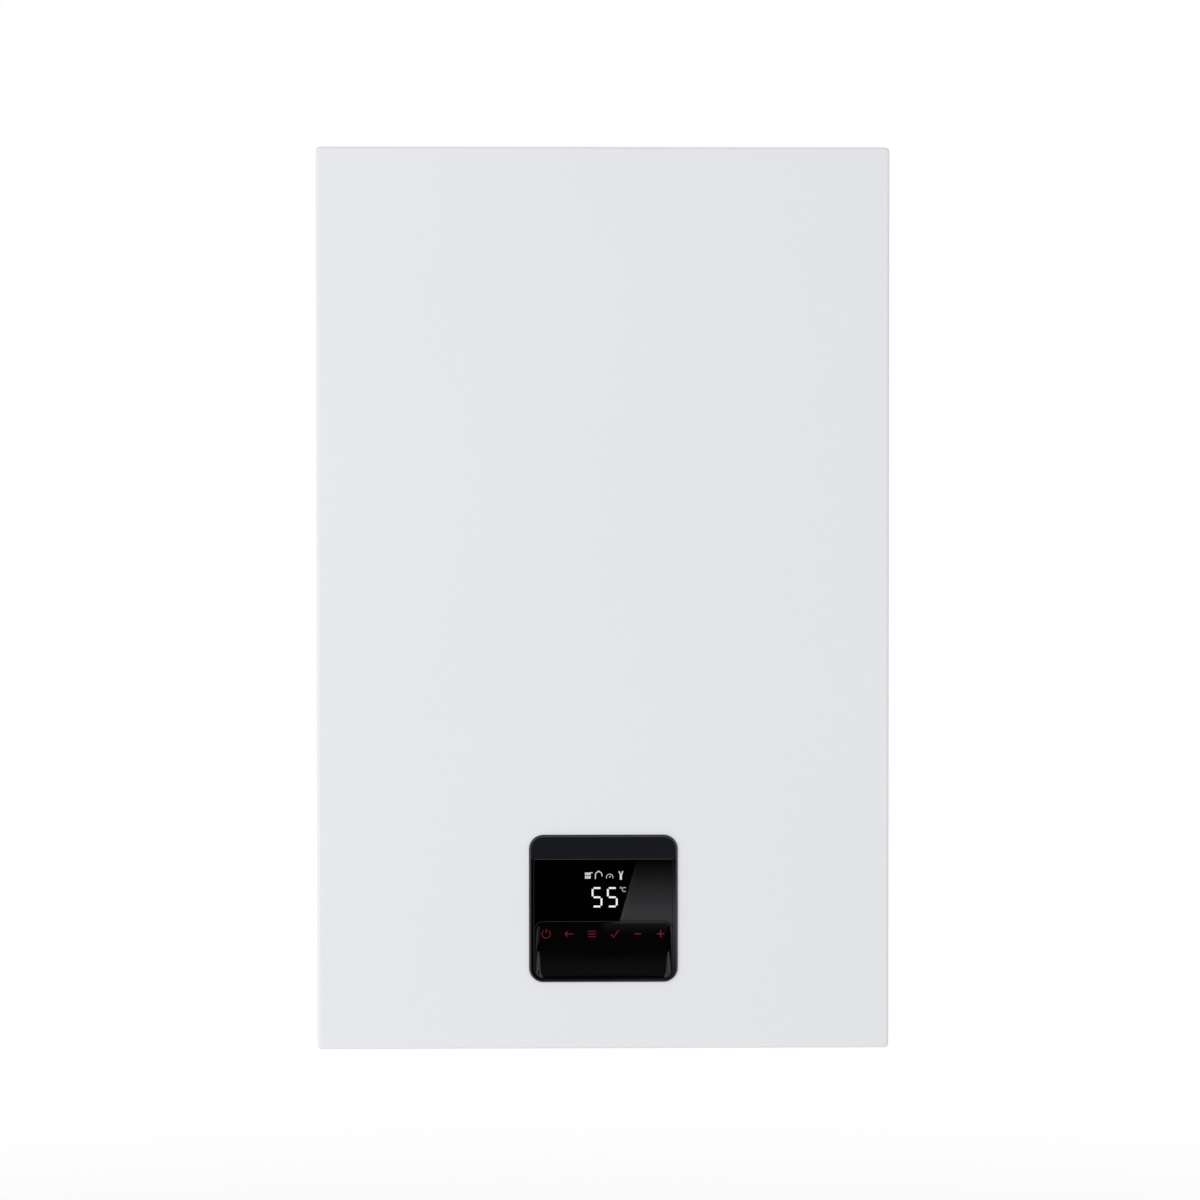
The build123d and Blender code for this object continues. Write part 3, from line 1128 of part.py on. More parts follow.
def pump_impeller():
    """Vaned disc in the volute and its shaft into the motor."""
    low = PUMP_FRONT + PUMP_WALL + PUMP_GAP
    body = pump_rod(PUMP_IMPELLER, low, low + PUMP_DISC)
    body += pump_rod(PUMP_SHAFT, PUMP_FRONT - PUMP_SHAFT_REACH, low)
    body += pump_rod(2 * PUMP_SHAFT, low, low + PUMP_VANE)
    vane_x = (2 * PUMP_SHAFT - BLADE_TIP, PUMP_IMPELLER - BLADE_TIP)
    vane = block(vane_x, (low, low + PUMP_VANE), (-BLADE / 2, BLADE / 2))
    for index in range(PUMP_VANES):
        body += Pos(PUMP_X, 0, PUMP_Z) * Rot(0, 360 / PUMP_VANES * index, 0) * vane
    return body


def pump_motor():
    """Motor can in front of the volute, with its bearing bore."""
    front = PUMP_FRONT - PUMP_MOTOR_LENGTH
    body = pump_rod(PUMP_MOTOR_RADIUS, front, PUMP_FRONT)
    body = fillet(body.edges().filter_by(GeomType.CIRCLE).sort_by(Axis.Y)[0], FAN_MOTOR_FILLET)
    return body - pump_rod(PUMP_SHAFT + SHAFT_CLEARANCE, PUMP_FRONT - PUMP_SHAFT_REACH - FACE_GAP, PUMP_FRONT)


def air_vent_body():
    """Upright can on the pump housing that holds the vent float."""
    centre = (VENT_X, RETURN_Y)
    body = rod("z", centre, VENT_RADIUS, VENT_BOTTOM, VENT_BOTTOM + VENT_HEIGHT)
    body -= rod("z", centre, VENT_RADIUS - CHANNEL_WALL, *vent_cavity())
    return body - rod("z", centre, VENT_HOLE, VENT_BOTTOM, VENT_BOTTOM + VENT_HEIGHT)


def vent_cavity():
    """Lower and upper end of the float chamber."""
    return VENT_BOTTOM + CHANNEL_WALL, VENT_BOTTOM + VENT_HEIGHT - CHANNEL_WALL


def air_vent_float():
    """Float that rests on the floor of its chamber."""
    low, high = vent_cavity()
    radius = VENT_RADIUS - CHANNEL_WALL - FACE_GAP
    return rod("z", (VENT_X, RETURN_Y), radius, low, high - VENT_FLOAT_TRAVEL - FACE_GAP)


def flow_pipe():
    """Pipe from the left port of the heat cell to the diverter."""
    top = PORT_Z - PORT_DROP
    x = CELL_X - PORT_OFFSET
    return pipe([(x, FLOW_Y, top), (x, FLOW_Y, FLOW_STUB_Z), (FLOW_STUB_X, FLOW_Y, FLOW_STUB_Z)], *PIPE)


def return_pipe():
    """Straight pipe from the pump to the right port of the heat cell."""
    centre = (PUMP_X, RETURN_Y)
    return tube("z", centre, PIPE_RADIUS, PIPE_RADIUS - PIPE_WALL, RETURN_STUB_TOP, PORT_Z - PORT_DROP)


def plate_heat_exchanger():
    """Brazed stack of plates with four ports at the front."""
    back = PLATE_HX_FRONT + PLATE_HX_DEPTH
    top = PLATE_HX_BOTTOM + PLATE_HX_HEIGHT
    inset = HOSE_WALL
    half = PLATE_HX_HALF_WIDTH
    body = block((inset - half, half - inset), (PLATE_HX_FRONT, back), (PLATE_HX_BOTTOM + inset, top - inset))
    pitch = (PLATE_HX_DEPTH - PLATE_EDGE) / (PLATE_HX_RIBS - 1)
    for index in range(PLATE_HX_RIBS):
        start = PLATE_HX_FRONT + pitch * index
        body += block((-half, half), (start, start + PLATE_EDGE), (PLATE_HX_BOTTOM, top))
    for side in (-1, 1):
        for x, z, radius in ((ARM_X, ARM_Z, ARM_RADIUS), (COLD_X, HOT_ARM_Z, HOT_ARM_RADIUS)):
            body -= rod("y", (side * x, z), radius - CHANNEL_WALL, PLATE_HX_FRONT, PLATE_HX_FRONT + radius)
    return body


def cold_inlet_manifold():
    """Cold water inlet: turbine tube on an axle, elbow to the plate exchanger and filling valve."""
    centre = (COLD_X, CONNECTION_Y)
    bore = SENSOR_TUBE - CHANNEL_WALL
    body = rod("z", centre, SENSOR_TUBE, NIPPLE_TOP, HOT_ARM_Z + SENSOR_TUBE)
    body += rod("y", (COLD_X, HOT_ARM_Z), HOT_ARM_RADIUS, CONNECTION_Y, PLATE_HX_FRONT)
    body -= rod("z", centre, bore, NIPPLE_TOP, HOT_ARM_Z + HOT_ARM_RADIUS)
    body -= rod("y", (COLD_X, HOT_ARM_Z), HOT_ARM_RADIUS - CHANNEL_WALL, CONNECTION_Y, PLATE_HX_FRONT)
    low, high = turbine_limits()
    arm = bore + AXLE_ARM_LAP
    body += rod("z", centre, AXLE_RADIUS, low - 2 * BLADE, high + 2 * BLADE)
    for z in ((low - 3 * BLADE, low - BLADE), (high + BLADE, high + 3 * BLADE)):
        body += block((COLD_X - arm, COLD_X + arm), (CONNECTION_Y - BLADE, CONNECTION_Y + BLADE), z)
    half = TAP_KNOB_RADIUS
    boss_x = (COLD_X + SENSOR_TUBE - HOSE_WALL, TAP_X + half)
    boss_z = (PLATE_TOP, ARM_Z - ARM_RADIUS - PIPE_WALL)
    body += block(boss_x, (CONNECTION_Y - half, CONNECTION_Y + half), boss_z)
    stem_z = (PLATE_TOP, PLATE_TOP + TAP_STEM_DEPTH)
    return body - rod("z", (TAP_X, CONNECTION_Y), TAP_STEM + SHAFT_CLEARANCE, *stem_z)


def turbine_limits():
    """Lower and upper end of the flow turbine."""
    return NIPPLE_TOP + TURBINE_LIFT, NIPPLE_TOP + TURBINE_LIFT + TURBINE_LENGTH


def flow_turbine():
    """Vaned wheel that turns on the axle in the cold water tube."""
    low, high = turbine_limits()
    centre = (COLD_X, CONNECTION_Y)
    body = rod("z", centre, 2.5 * AXLE_RADIUS, low, high)
    vane = block((AXLE_RADIUS * 2, TURBINE_RADIUS), (-BLADE / 2, BLADE / 2), (low + BLADE, high - BLADE))
    for index in range(TURBINE_VANES):
        body += Pos(COLD_X, CONNECTION_Y, 0) * Rot(0, 0, 360 / TURBINE_VANES * index) * vane
    return body - rod("z", centre, AXLE_RADIUS + SHAFT_CLEARANCE, low, high)


def grip_knob(centre, radius, low, high):
    """Round knob with grip ridges."""
    body = rod("z", centre, radius - KNOB_GROOVE, low, high)
    ridge = Pos(radius - KNOB_GROOVE, 0, (low + high) / 2) * Cylinder(KNOB_GROOVE, high - low)
    for index in range(GRIP_RIDGES):
        body += Pos(centre[0], centre[1], 0) * Rot(0, 0, 360 / GRIP_RIDGES * index) * ridge
    return body


def filling_tap_knob():
    """Knob below the bottom sheet with its stem up into the filling valve."""
    centre = (TAP_X, CONNECTION_Y)
    top = BOTTOM_PLATE_HEIGHT - TAP_GAP
    body = grip_knob(centre, TAP_KNOB_RADIUS, top - TAP_KNOB_HEIGHT, top)
    return body + rod("z", centre, TAP_STEM, top, PLATE_TOP + TAP_STEM_DEPTH)


def outlet_collar(centre, radius):
    """Lock ring of an outlet, against the underside of the bottom sheet."""
    low = BOTTOM_PLATE_HEIGHT - COLLAR_RING_HEIGHT
    return rod("z", centre, radius + COLLAR_RING_WIDTH, low, BOTTOM_PLATE_HEIGHT)


def safety_valve_body():
    """Valve on the return side with its outlet down through the bottom sheet."""
    centre = (VALVE_X, CONNECTION_Y)
    neck = (VALVE_X - VALVE_RADIUS - VALVE_NECK, VALVE_X)
    body = rod("z", centre, VALVE_RADIUS, NIPPLE_TOP, VALVE_TOP)
    body += rod("z", centre, VALVE_OUTLET, NIPPLE_BOTTOM, NIPPLE_TOP) + outlet_collar(centre, VALVE_OUTLET)
    body += rod("x", (CONNECTION_Y, VALVE_ARM_Z), VALVE_OUTLET, *neck)
    seat = VALVE_TOP - VALVE_STEM_DEPTH - CHANNEL_WALL
    body -= rod("z", centre, VALVE_OUTLET - HOSE_WALL, NIPPLE_BOTTOM, seat)
    body -= rod("x", (CONNECTION_Y, VALVE_ARM_Z), VALVE_OUTLET - HOSE_WALL, *neck)
    return body - rod("z", centre, SPINDLE_RADIUS + SHAFT_CLEARANCE, VALVE_TOP - VALVE_STEM_DEPTH, VALVE_TOP)


def safety_valve_knob():
    """Knob on the safety valve with its stem."""
    centre = (VALVE_X, CONNECTION_Y)
    low = VALVE_TOP + FACE_GAP
    body = grip_knob(centre, KNOB_RADIUS, low, low + VALVE_KNOB_HEIGHT)
    return body + rod("z", centre, SPINDLE_RADIUS, low - VALVE_STEM_DEPTH, low)


def condensate_trap():
    """Cup on the bottom sheet with its inlet above and its outlet below."""
    centre = (TRAP_X, TRAP_Y)
    body = rod("z", centre, TRAP_RADIUS, PLATE_TOP, TRAP_TOP)
    body += rod("z", centre, TRAP_OUTLET, NIPPLE_BOTTOM, PLATE_TOP) + outlet_collar(centre, TRAP_OUTLET)
    body += rod("z", centre, HOSE_RADIUS, TRAP_TOP, TRAP_TOP + TRAP_NECK)
    body -= rod("z", centre, TRAP_RADIUS - HOSE_WALL, PLATE_TOP + HOSE_WALL, TRAP_TOP - HOSE_WALL)
    return body - rod("z", centre, HOSE_RADIUS - HOSE_WALL, NIPPLE_BOTTOM, TRAP_TOP + TRAP_NECK)


def condensate_hose():
    """Hose from the drain of the heat cell to the trap."""
    top = CELL_Z - CELL_RADIUS - DRAIN_DROP
    low = TRAP_TOP + TRAP_NECK
    points = [
        (CELL_X, DRAIN_Y, top),
        (CELL_X, DRAIN_Y, top - DRAIN_RUN),
        (TRAP_X, TRAP_Y, low + DRAIN_RISE),
        (TRAP_X, TRAP_Y, low),
    ]
    return pipe(points, HOSE_RADIUS, HOSE_WALL, HOSE_BEND)


# ---- Electronics box and control panel ----
def electronics_tray():
    """Box open to the back, with hinge bores, board posts and holes for the leads."""
    wall = BOX_WALL
    inside = BOX_HALF_WIDTH - wall
    body = block((-BOX_HALF_WIDTH, BOX_HALF_WIDTH), (BOX_FRONT_Y, BOX_BACK_Y), (BOX_BOTTOM, BOX_TOP))
    body = fillet(body.edges().filter_by(Axis.Z), wall)
    body -= block((-inside, inside), (BOX_FRONT_Y + wall, BOX_BACK_Y), (BOX_BOTTOM + wall, BOX_TOP - wall))
    for side in (-1, 1):
        limits = sorted((side * (inside - HINGE_BOSS_LENGTH), side * BOX_HALF_WIDTH))
        body += rod("x", (HINGE_Y, HINGE_Z), HINGE_BOSS_RADIUS, limits[0] + wall / 2, limits[1] - wall / 2)
        body -= rod("x", (HINGE_Y, HINGE_Z), HINGE_PIN_RADIUS + PIN_CLEARANCE, *limits)
    for x, z in board_posts():
        body += rod("y", (x, z), POST_RADIUS, BOX_FRONT_Y + wall, board_front())
    for x in grommet_places():
        body -= rod("z", (x, GROMMET_Y), GROMMET_HOLE, BOX_BOTTOM, BOX_BOTTOM + wall)
    opening = Rectangle(LEAD_OPENING, LEAD_OPENING / 2)
    return body - facing_plate(opening, (0, PANEL_HEIGHT_ABOVE_BASE), BOX_FRONT_Y + wall, BOX_FRONT_Y)


def board_front():
    """Front face of the main board."""
    return BOX_BACK_Y - BOARD_SETBACK


def board_posts():
    """Places of the four posts for the main board."""
    middle = BOX_BOTTOM + BOX_HEIGHT / 2
    return [(side * POST_X, middle + level * POST_Z) for side in (-1, 1) for level in (-1, 1)]


def grommet_places():
    """Places of the lead holes along the box."""
    inner = GROMMET_X - GROMMET_PITCH
    return [-GROMMET_X, -inner, inner, GROMMET_X]


def electronics_lid():
    """Flat lid on the back of the box."""
    return block(
        (-BOX_HALF_WIDTH, BOX_HALF_WIDTH), (BOX_BACK_Y, BOX_BACK_Y + LID_THICKNESS), (BOX_BOTTOM, BOX_TOP)
    )


def main_board():
    """Control board on its posts with transformer, relays, capacitors and connectors."""
    front = board_front()
    back = front + BOARD_THICKNESS
    middle = BOX_BOTTOM + BOX_HEIGHT / 2
    half = BOX_HEIGHT / 2 - BOARD_MARGIN
    body = block((-BOARD_HALF, BOARD_HALF), (front, back), (middle - half, middle + half))

    def part(x, width, z, height, depth):
        return block((x, x + width), (back, back + depth), (z, z + height))

    transformer_z = middle - TRANSFORMER_HEIGHT / 2
    left = COMPONENT_MARGIN - BOARD_HALF
    body += part(left, TRANSFORMER_WIDTH, transformer_z, TRANSFORMER_HEIGHT, TRANSFORMER_DEPTH)
    upper = middle + COMPONENT_MARGIN
    for index in range(RELAY_COUNT):
        x = RELAY_PITCH * index - RELAY_START
        body += part(x, RELAY_WIDTH, upper, RELAY_HEIGHT, RELAY_DEPTH)
    for index in range(CAPACITOR_COUNT):
        place = (CAPACITOR_START + CAPACITOR_PITCH * index, upper + CAPACITOR_RADIUS)
        body += rod("y", place, CAPACITOR_RADIUS, back, back + CAPACITOR_DEPTH)
    lower = middle - half + CONNECTOR_MARGIN
    for index in range(int((BOARD_HALF + CONNECTOR_START) / CONNECTOR_PITCH)):
        x = CONNECTOR_PITCH * index - CONNECTOR_START
        body += part(x, CONNECTOR_WIDTH, lower, CONNECTOR_HEIGHT, CONNECTOR_DEPTH)
    return body


def cable_grommets():
    """Rubber grommets in the floor of the box."""
    rings = []
    for x in grommet_places():
        centre = (x, GROMMET_Y)
        body = rod("z", centre, GROMMET_HOLE, BOX_BOTTOM, BOX_BOTTOM + BOX_WALL)
        body += rod("z", centre, GROMMET_RADIUS, BOX_BOTTOM - BOX_WALL, BOX_BOTTOM)
        body += rod("z", centre, GROMMET_RADIUS, BOX_BOTTOM + BOX_WALL, BOX_BOTTOM + 2 * BOX_WALL)
        rings.append(body - rod("z", centre, GROMMET_BORE, BOX_BOTTOM - BOX_WALL, BOX_BOTTOM + 2 * BOX_WALL))
    return rings


def hinge_brackets():
    """Bracket on each side panel with the pin that carries the box."""
    outer = STEP_INNER_X
    inner = outer - 2 * FRAME_SHEET
    boss_end = BOX_HALF_WIDTH + FACE_GAP
    behind = FLANGE_Y + PANEL_SHEET
    foot_z = (HINGE_Z - BRACKET_FOOT / 2, HINGE_Z + BRACKET_FOOT)
    foot = block((inner, outer), (behind, behind + BRACKET_FOOT), foot_z)
    boss = rod("x", (HINGE_Y, HINGE_Z), HINGE_BOSS_RADIUS, boss_end, inner)
    pin_end = BOX_HALF_WIDTH - BOX_WALL - HINGE_BOSS_LENGTH + FACE_GAP
    right = foot + boss + rod("x", (HINGE_Y, HINGE_Z), HINGE_PIN_RADIUS, pin_end, boss_end)
    return [right, mirrored(right)]


def key_shape(growth, back, front):
    """Solid on the outline of the key panel, grown or shrunk all round."""
    outline = Rectangle(2 * INSERT_HALF + 2 * growth, KEY_PANEL_HEIGHT + 2 * growth)
    outline = fillet(outline.vertices().group_by(Axis.Y)[-1], KEY_TOP_RADIUS + growth)
    outline = fillet(outline.vertices().group_by(Axis.Y)[0], KEY_BOTTOM_RADIUS + growth)
    return facing_plate(outline, (0, KEY_BOTTOM + KEY_PANEL_HEIGHT / 2), back, front)


def display_bezel():
    """Black housing of the control panel: satin strip above, side rims and pockets for the inserts."""
    outline = RectangleRounded(BEZEL_WIDTH, BEZEL_HEIGHT, BEZEL_RADIUS)
    body = facing_plate(outline, (0, PANEL_HEIGHT_ABOVE_BASE), BOX_FRONT_Y, PANEL_FRONT_Y)
    body = fillet(body.faces().sort_by(Axis.Y)[0].edges(), BEZEL_EDGE)
    window_z = (KEY_TOP - KEY_TOP_RADIUS, STRIP_BOTTOM)
    body -= block((-INSERT_HALF, INSERT_HALF), (PANEL_FRONT_Y, WINDOW_BACK_Y), window_z)
    body -= key_shape(0, KEY_BACK_Y, PANEL_FRONT_Y)
    body -= block((-BOARD_POCKET, BOARD_POCKET), (pocket_front(), BOX_FRONT_Y), pocket_z())
    return body - block((-LED_HALF, LED_HALF), (WINDOW_BACK_Y, pocket_front()), led_z())


def pocket_front():
    """Front end of the pocket that holds the display board."""
    return BOX_FRONT_Y - BOARD_POCKET_DEPTH


def pocket_z():
    """Lower and upper side of that pocket."""
    return KEY_TOP + CHANNEL_WALL, STRIP_BOTTOM - CHANNEL_WALL


def led_z():
    """Lower and upper side of the opening for the lamps."""
    return KEY_TOP + 2 * CHANNEL_WALL, STRIP_BOTTOM - 2 * CHANNEL_WALL


def display_window():
    """Clear glossy window above the key panel."""
    half = INSERT_HALF - INSERT_GAP
    z = (KEY_TOP - KEY_TOP_RADIUS + INSERT_GAP, STRIP_BOTTOM - INSERT_GAP)
    plate = block((-half, half), (WINDOW_FRONT_Y, WINDOW_BACK_Y), z)
    return plate - key_shape(INSERT_GAP, WINDOW_BACK_Y, PANEL_FRONT_Y)


def key_panel():
    """Glossy key panel: a flat band for the touch symbols over a scoop that deepens downwards."""
    top = PANEL_BOTTOM + SCOOP_HEIGHT
    run = top - KEY_BOTTOM
    half = INSERT_HALF - SCOOP_SIDE
    tilt = degrees(atan2(SCOOP_DEPTH, run))
    tool = block((-half, half), (-SCOOP_FILLET * 3, 0), (-2 * run, 0))
    tool = fillet(tool.edges().filter_by(Axis.Z).group_by(Axis.Y)[-1], SCOOP_FILLET)
    scoop = Pos(0, PANEL_FRONT_Y, top) * Rot(tilt, 0, 0) * tool
    return key_shape(-INSERT_GAP, KEY_BACK_Y, PANEL_FRONT_Y) - scoop


def display_board():
    """Board behind the window with its block of lamps."""
    half = BOARD_POCKET - INSERT_GAP
    low, high = pocket_z()
    front = pocket_front() + HOSE_WALL
    body = block((-half, half), (front, front + BOARD_THICKNESS), (low + INSERT_GAP, high - INSERT_GAP))
    low, high = led_z()
    lamp_half = LED_HALF - INSERT_GAP
    lamp_z = (low + INSERT_GAP, high - INSERT_GAP)
    return body + block((-lamp_half, lamp_half), (WINDOW_BACK_Y, front), lamp_z)


# ---- Writing the pieces ----
def main():
    """Build every sub-part and write one file for each."""
    os.makedirs(PARTS_FOLDER, exist_ok=True)
    right_side = side_panel()
    save("side_panel_right", right_side)
    save("side_panel_left", mirrored(right_side))
    single = (
        rear_frame, top_plate, bottom_plate, cross_rail, wall_bracket, casing_seal, front_cover,
        flue_collar, flue_duct, heat_exchanger_shell, heat_exchanger_coil, burner_door, door_insulation,
        burner_tube, ignition_electrode, fan_housing, fan_motor, fan_impeller, venturi, air_silencer,
        gas_valve_body, gas_valve_plunger, gas_pipe, expansion_vessel, expansion_diaphragm, expansion_hose,
        flow_manifold, diverter_spindle, diverter_actuator, pump_housing, pump_impeller, pump_motor,
        air_vent_body, air_vent_float, flow_pipe, return_pipe, plate_heat_exchanger, cold_inlet_manifold,
        flow_turbine, filling_tap_knob, safety_valve_body, safety_valve_knob, condensate_trap,
        condensate_hose, electronics_tray, electronics_lid, main_board, display_bezel, display_window,
        key_panel, display_board,
    )
    for piece in single:
        save(piece.__name__, piece())
    for group in (
        casing_screws, cover_screws, door_bolts, gas_valve_coils, connection_nipples, cable_grommets,
        hinge_brackets,
    ):
        save(group.__name__, *group())


main()
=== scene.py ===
"""Wall-hung combi boiler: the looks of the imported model, laid out as a Blender add-on and run as a script.

Every size is in millimetres and every place is in the model's own frame: x to the right, y into the wall,
z up, with the origin on the wall at the middle of the hanging line.
"""

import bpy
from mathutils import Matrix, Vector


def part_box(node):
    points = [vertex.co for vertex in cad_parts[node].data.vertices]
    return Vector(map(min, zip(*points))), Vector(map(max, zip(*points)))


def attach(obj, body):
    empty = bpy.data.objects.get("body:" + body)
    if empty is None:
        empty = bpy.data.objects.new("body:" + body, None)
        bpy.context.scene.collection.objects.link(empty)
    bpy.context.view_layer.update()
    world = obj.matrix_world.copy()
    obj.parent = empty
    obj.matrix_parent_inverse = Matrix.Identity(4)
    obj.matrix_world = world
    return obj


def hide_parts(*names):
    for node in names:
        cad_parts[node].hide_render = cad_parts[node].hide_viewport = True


bl_info = {
    "name": "Combi Boiler",
    "version": (1, 0, 0),
    "blender": (4, 5, 0),
    "location": "View3D > Sidebar > Boiler",
    "description": "Builds the casing, control panel and inner parts of a wall-hung combi boiler",
    "category": "Add Mesh",
}

import math
from contextlib import contextmanager

import bmesh
import bpy
from bpy.props import FloatProperty, FloatVectorProperty, PointerProperty
from mathutils import Euler, Matrix, Vector

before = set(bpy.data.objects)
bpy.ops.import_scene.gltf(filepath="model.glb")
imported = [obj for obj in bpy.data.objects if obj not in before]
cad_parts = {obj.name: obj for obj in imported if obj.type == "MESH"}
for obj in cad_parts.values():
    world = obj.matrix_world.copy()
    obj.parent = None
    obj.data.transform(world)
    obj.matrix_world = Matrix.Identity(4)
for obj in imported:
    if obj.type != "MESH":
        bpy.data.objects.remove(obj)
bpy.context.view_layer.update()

MM = 0.001

# ---------------------------------------------------------------------------------------------------------
# Sizes in millimetres. What the frame knows is read from it; the rest is what can be measured on the object.
# ---------------------------------------------------------------------------------------------------------


def corners(node):
    """Lowest and highest corner of a node, in millimetres."""
    low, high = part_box(node)
    return Vector(low) / MM, Vector(high) / MM


def middle_of(node):
    """Middle of a node's box, in millimetres."""
    return [(a + b) / 2 for a, b in zip(*corners(node))]


BEZEL_LOW, BEZEL_HIGH = corners("display_bezel")
WINDOW_LOW, WINDOW_HIGH = corners("display_window")
KEYS_LOW, KEYS_HIGH = corners("key_panel")
PANEL_CENTRE = (BEZEL_LOW + BEZEL_HIGH) / 2

# Control panel: gaps and corners, then the step below the strip. FINE is how proud of its front a print lies.
PANEL_GAP = 0.1
KEY_TOP_RADIUS = 6.0
KEY_BOTTOM_RADIUS = 8.0
KEYS_SET_BACK = 0.15
LIP_DEPTH = 0.5
LIP_BELOW = 0.45
LIP_ABOVE = 0.15
FINE = 0.05

# Finger scoop: where its bent upper edge runs, how wide its side walls are, how its depth grows downwards.
SCOOP_TOP = 26.8
SCOOP_SAG = 6.0
SCOOP_SIDE = 1.2
SCOOP_WALL = 3.4
SCOOP_FILLET = 4.5
SCOOP_CORNER = 10.0
SCOOP_CURVE = 1.7
BAND_LEAN = 0.34

# Spacing of the cuts that let the key module bend.
SCOOP_WALL_CUTS = 0.7
SCOOP_FLOOR_CUTS = 4.0
SCOOP_ROW_CUTS = 0.9

# Lit signs, measured from the middle of the panel: the two digits' places, then height of the symbols' row.
DIGIT_PLACES = (-4.5, 6.2)
DIGIT_MIDDLE = 8.0
DIGIT_WIDTH = 6.2
DIGIT_HEIGHT = 12.9
DIGIT_GAP = 0.7
DIGIT_LINE = 1.25
SYMBOL_ROW = -17.6

# Casing: heads of its screws, and the coined beads of the back sheet.
CASING_HEAD = 4.0
CASING_HEAD_HEIGHT = 2.4
BEAD_COUNT = 5
BEAD_FIRST = 95
BEAD_STEP = 92
BEAD_INSET = 45

# Zinc coat of the galvanised sheet: crystals, how ragged their borders are, and the grit of the surface.
ZINC_CRYSTAL = 5
ZINC_RAGGEDNESS = 3
ZINC_GRIT = 1.2

# Flue: inner radii of the air socket and of the inner duct's bell, and the circle of the flange screws.
AIR_SOCKET = 50.45
FLUE_BELL = 30.25
FLANGE_SCREW_CIRCLE = 60.5

# Pipe nipples: outer radii of the two threads, wall, hexagon, and how far the outermost axis lies inside.
HALF_INCH = 10.48
THREE_QUARTER_INCH = 13.2
NIPPLE_WALL = 2.5
NIPPLE_HEX_LOW = 22.0
NIPPLE_HEX_HIGH = 32.0
NIPPLE_EDGE = 18.2

# Heat cell: the tube wound round the burner, the hoops of the shell, the door with its ribs, bolts and glass.
COIL_TUBE = 8.0
COIL_PITCH = 17.5
COIL_TURNS = 5.5
HOOP_STEP = 26
DOOR_INSULATION_RADIUS = 94.0
DOOR_RIB_ANGLES = [38, 75, 90, 105, 142, 218, 255, 270, 285, 322]
DOOR_BOLT_CIRCLE = 99.5
DOOR_BOLT_HEAD = 4.0
SIGHT_GLASS_OFFSET = 62

# Fan, gas valve and cable plugs.
FAN_RADIUS = 60.0
MOTOR_FINS = 24
GAS_COIL_OFFSET = 16
CONTACT_PITCH = 4.0
DIAGONALS = (45, 135, 225, 315)

# Pipes and hoses: outer radii, the radius of a pipe joint's collar, and the gap between a manifold's collars.
PIPE_RADIUS = 9.0
JOINT_RADIUS = 12.0
DRAIN_HOSE = 9.0
VESSEL_HOSE = 7.0
WIDE_TUBE = 17.0
SLIM_TUBE = 13.0
COLLAR_GAP = 13
PORT_INSET = 14

# ---------------------------------------------------------------------------------------------------------
# Stage, in metres. The glow is one lit corner of a black card; its outline is given on the panel, in
# millimetres from the panel's middle, as the places where the eye has to find its reflection.
# ---------------------------------------------------------------------------------------------------------

WORLD_LEVEL = 0.645
LAMP_SIZE = 2.0
LAMP_AIM = (0, -0.15, -0.275)
LEFT_LAMP, LEFT_POWER = (-1.7, -2.2, -0.3), 27.6
RIGHT_LAMP, RIGHT_POWER = (1.8, -2.0, -0.3), 5.8
FLOOR_HEIGHT = -1.6
FLOOR_MIDDLE = (0.0, -0.15, FLOOR_HEIGHT)
FLOOR_REACH = 5.0
FLOOR_GLOW = 0.16
CARD_GAP = 1.0
CARD_WIDTH = 1.2
CARD_HEIGHT = 1.9
CARD_MIDDLE = -0.6
GLOW_TOP = (22.8, 34.0)
GLOW_BOTTOM = (0.4, -49.1)
GLOW_FOOT = -56.0
GLOW_STOPS = ((0.0, 0.0), (0.14, 0.3), (0.5, 0.9), (0.58, 1.0), (0.72, 0.6), (0.87, 0.22), (1.0, 0.0))
GLOW_TINT = (0.95, 0.98, 1.0)
GLOW_ABOVE = 0.35
GLOW_BELOW = 0.105
CAMERA_LENS = 85.0
CAMERA_SENSOR = 36.0
CAMERA_PLACE = (-0.0332, -2.2475, -0.2388)
CAMERA_TURN = (88.931, 0.033, -0.897)


# ---------------------------------------------------------------------------------------------------------
# Colour and material helpers
# ---------------------------------------------------------------------------------------------------------


def linear(code):
    """Linear colour with alpha of an sRGB hex code such as 'E6E7EA'."""
    channels = [int(code[i:i + 2], 16) / 255 for i in (0, 2, 4)]
    return [c / 12.92 if c <= 0.04045 else ((c + 0.055) / 1.055) ** 2.4 for c in channels] + [1.0]


def tones(colour, share=0.94):
    return [*colour[:3], 1.0], [channel * share for channel in colour[:3]] + [1.0]


def add_node(material, kind, inputs=None, links=None, **settings):
    """Add a shader node with its settings, its socket values and the links that come into it."""
    made = material.node_tree.nodes.new(kind)
    for name, value in settings.items():
        setattr(made, name, value)
    for name, value in (inputs or {}).items():
        made.inputs[name].default_value = value
    for name, source in (links or {}).items():
        material.node_tree.links.new(source, made.inputs[name])
    return made


def blank_material(name):
    """New node material with nothing in its tree."""
    material = bpy.data.materials.new(name)
    material.use_nodes = True
    material.node_tree.nodes.clear()
    return material


def close_material(material, shader):
    """Join a shader to the material's output."""
    add_node(material, "ShaderNodeOutputMaterial", links={"Surface": shader.outputs[0]})
    return material


def shaded(code_or_colour):
    """Linear colour with alpha, from a hex code or from a colour that is linear already."""
    return linear(code_or_colour) if isinstance(code_or_colour, str) else code_or_colour


SOCKETS = {"ior": "IOR", "metallic": "Metallic", "coat_weight": "Coat Weight",
           "coat_roughness": "Coat Roughness", "subsurface_weight": "Subsurface Weight"}


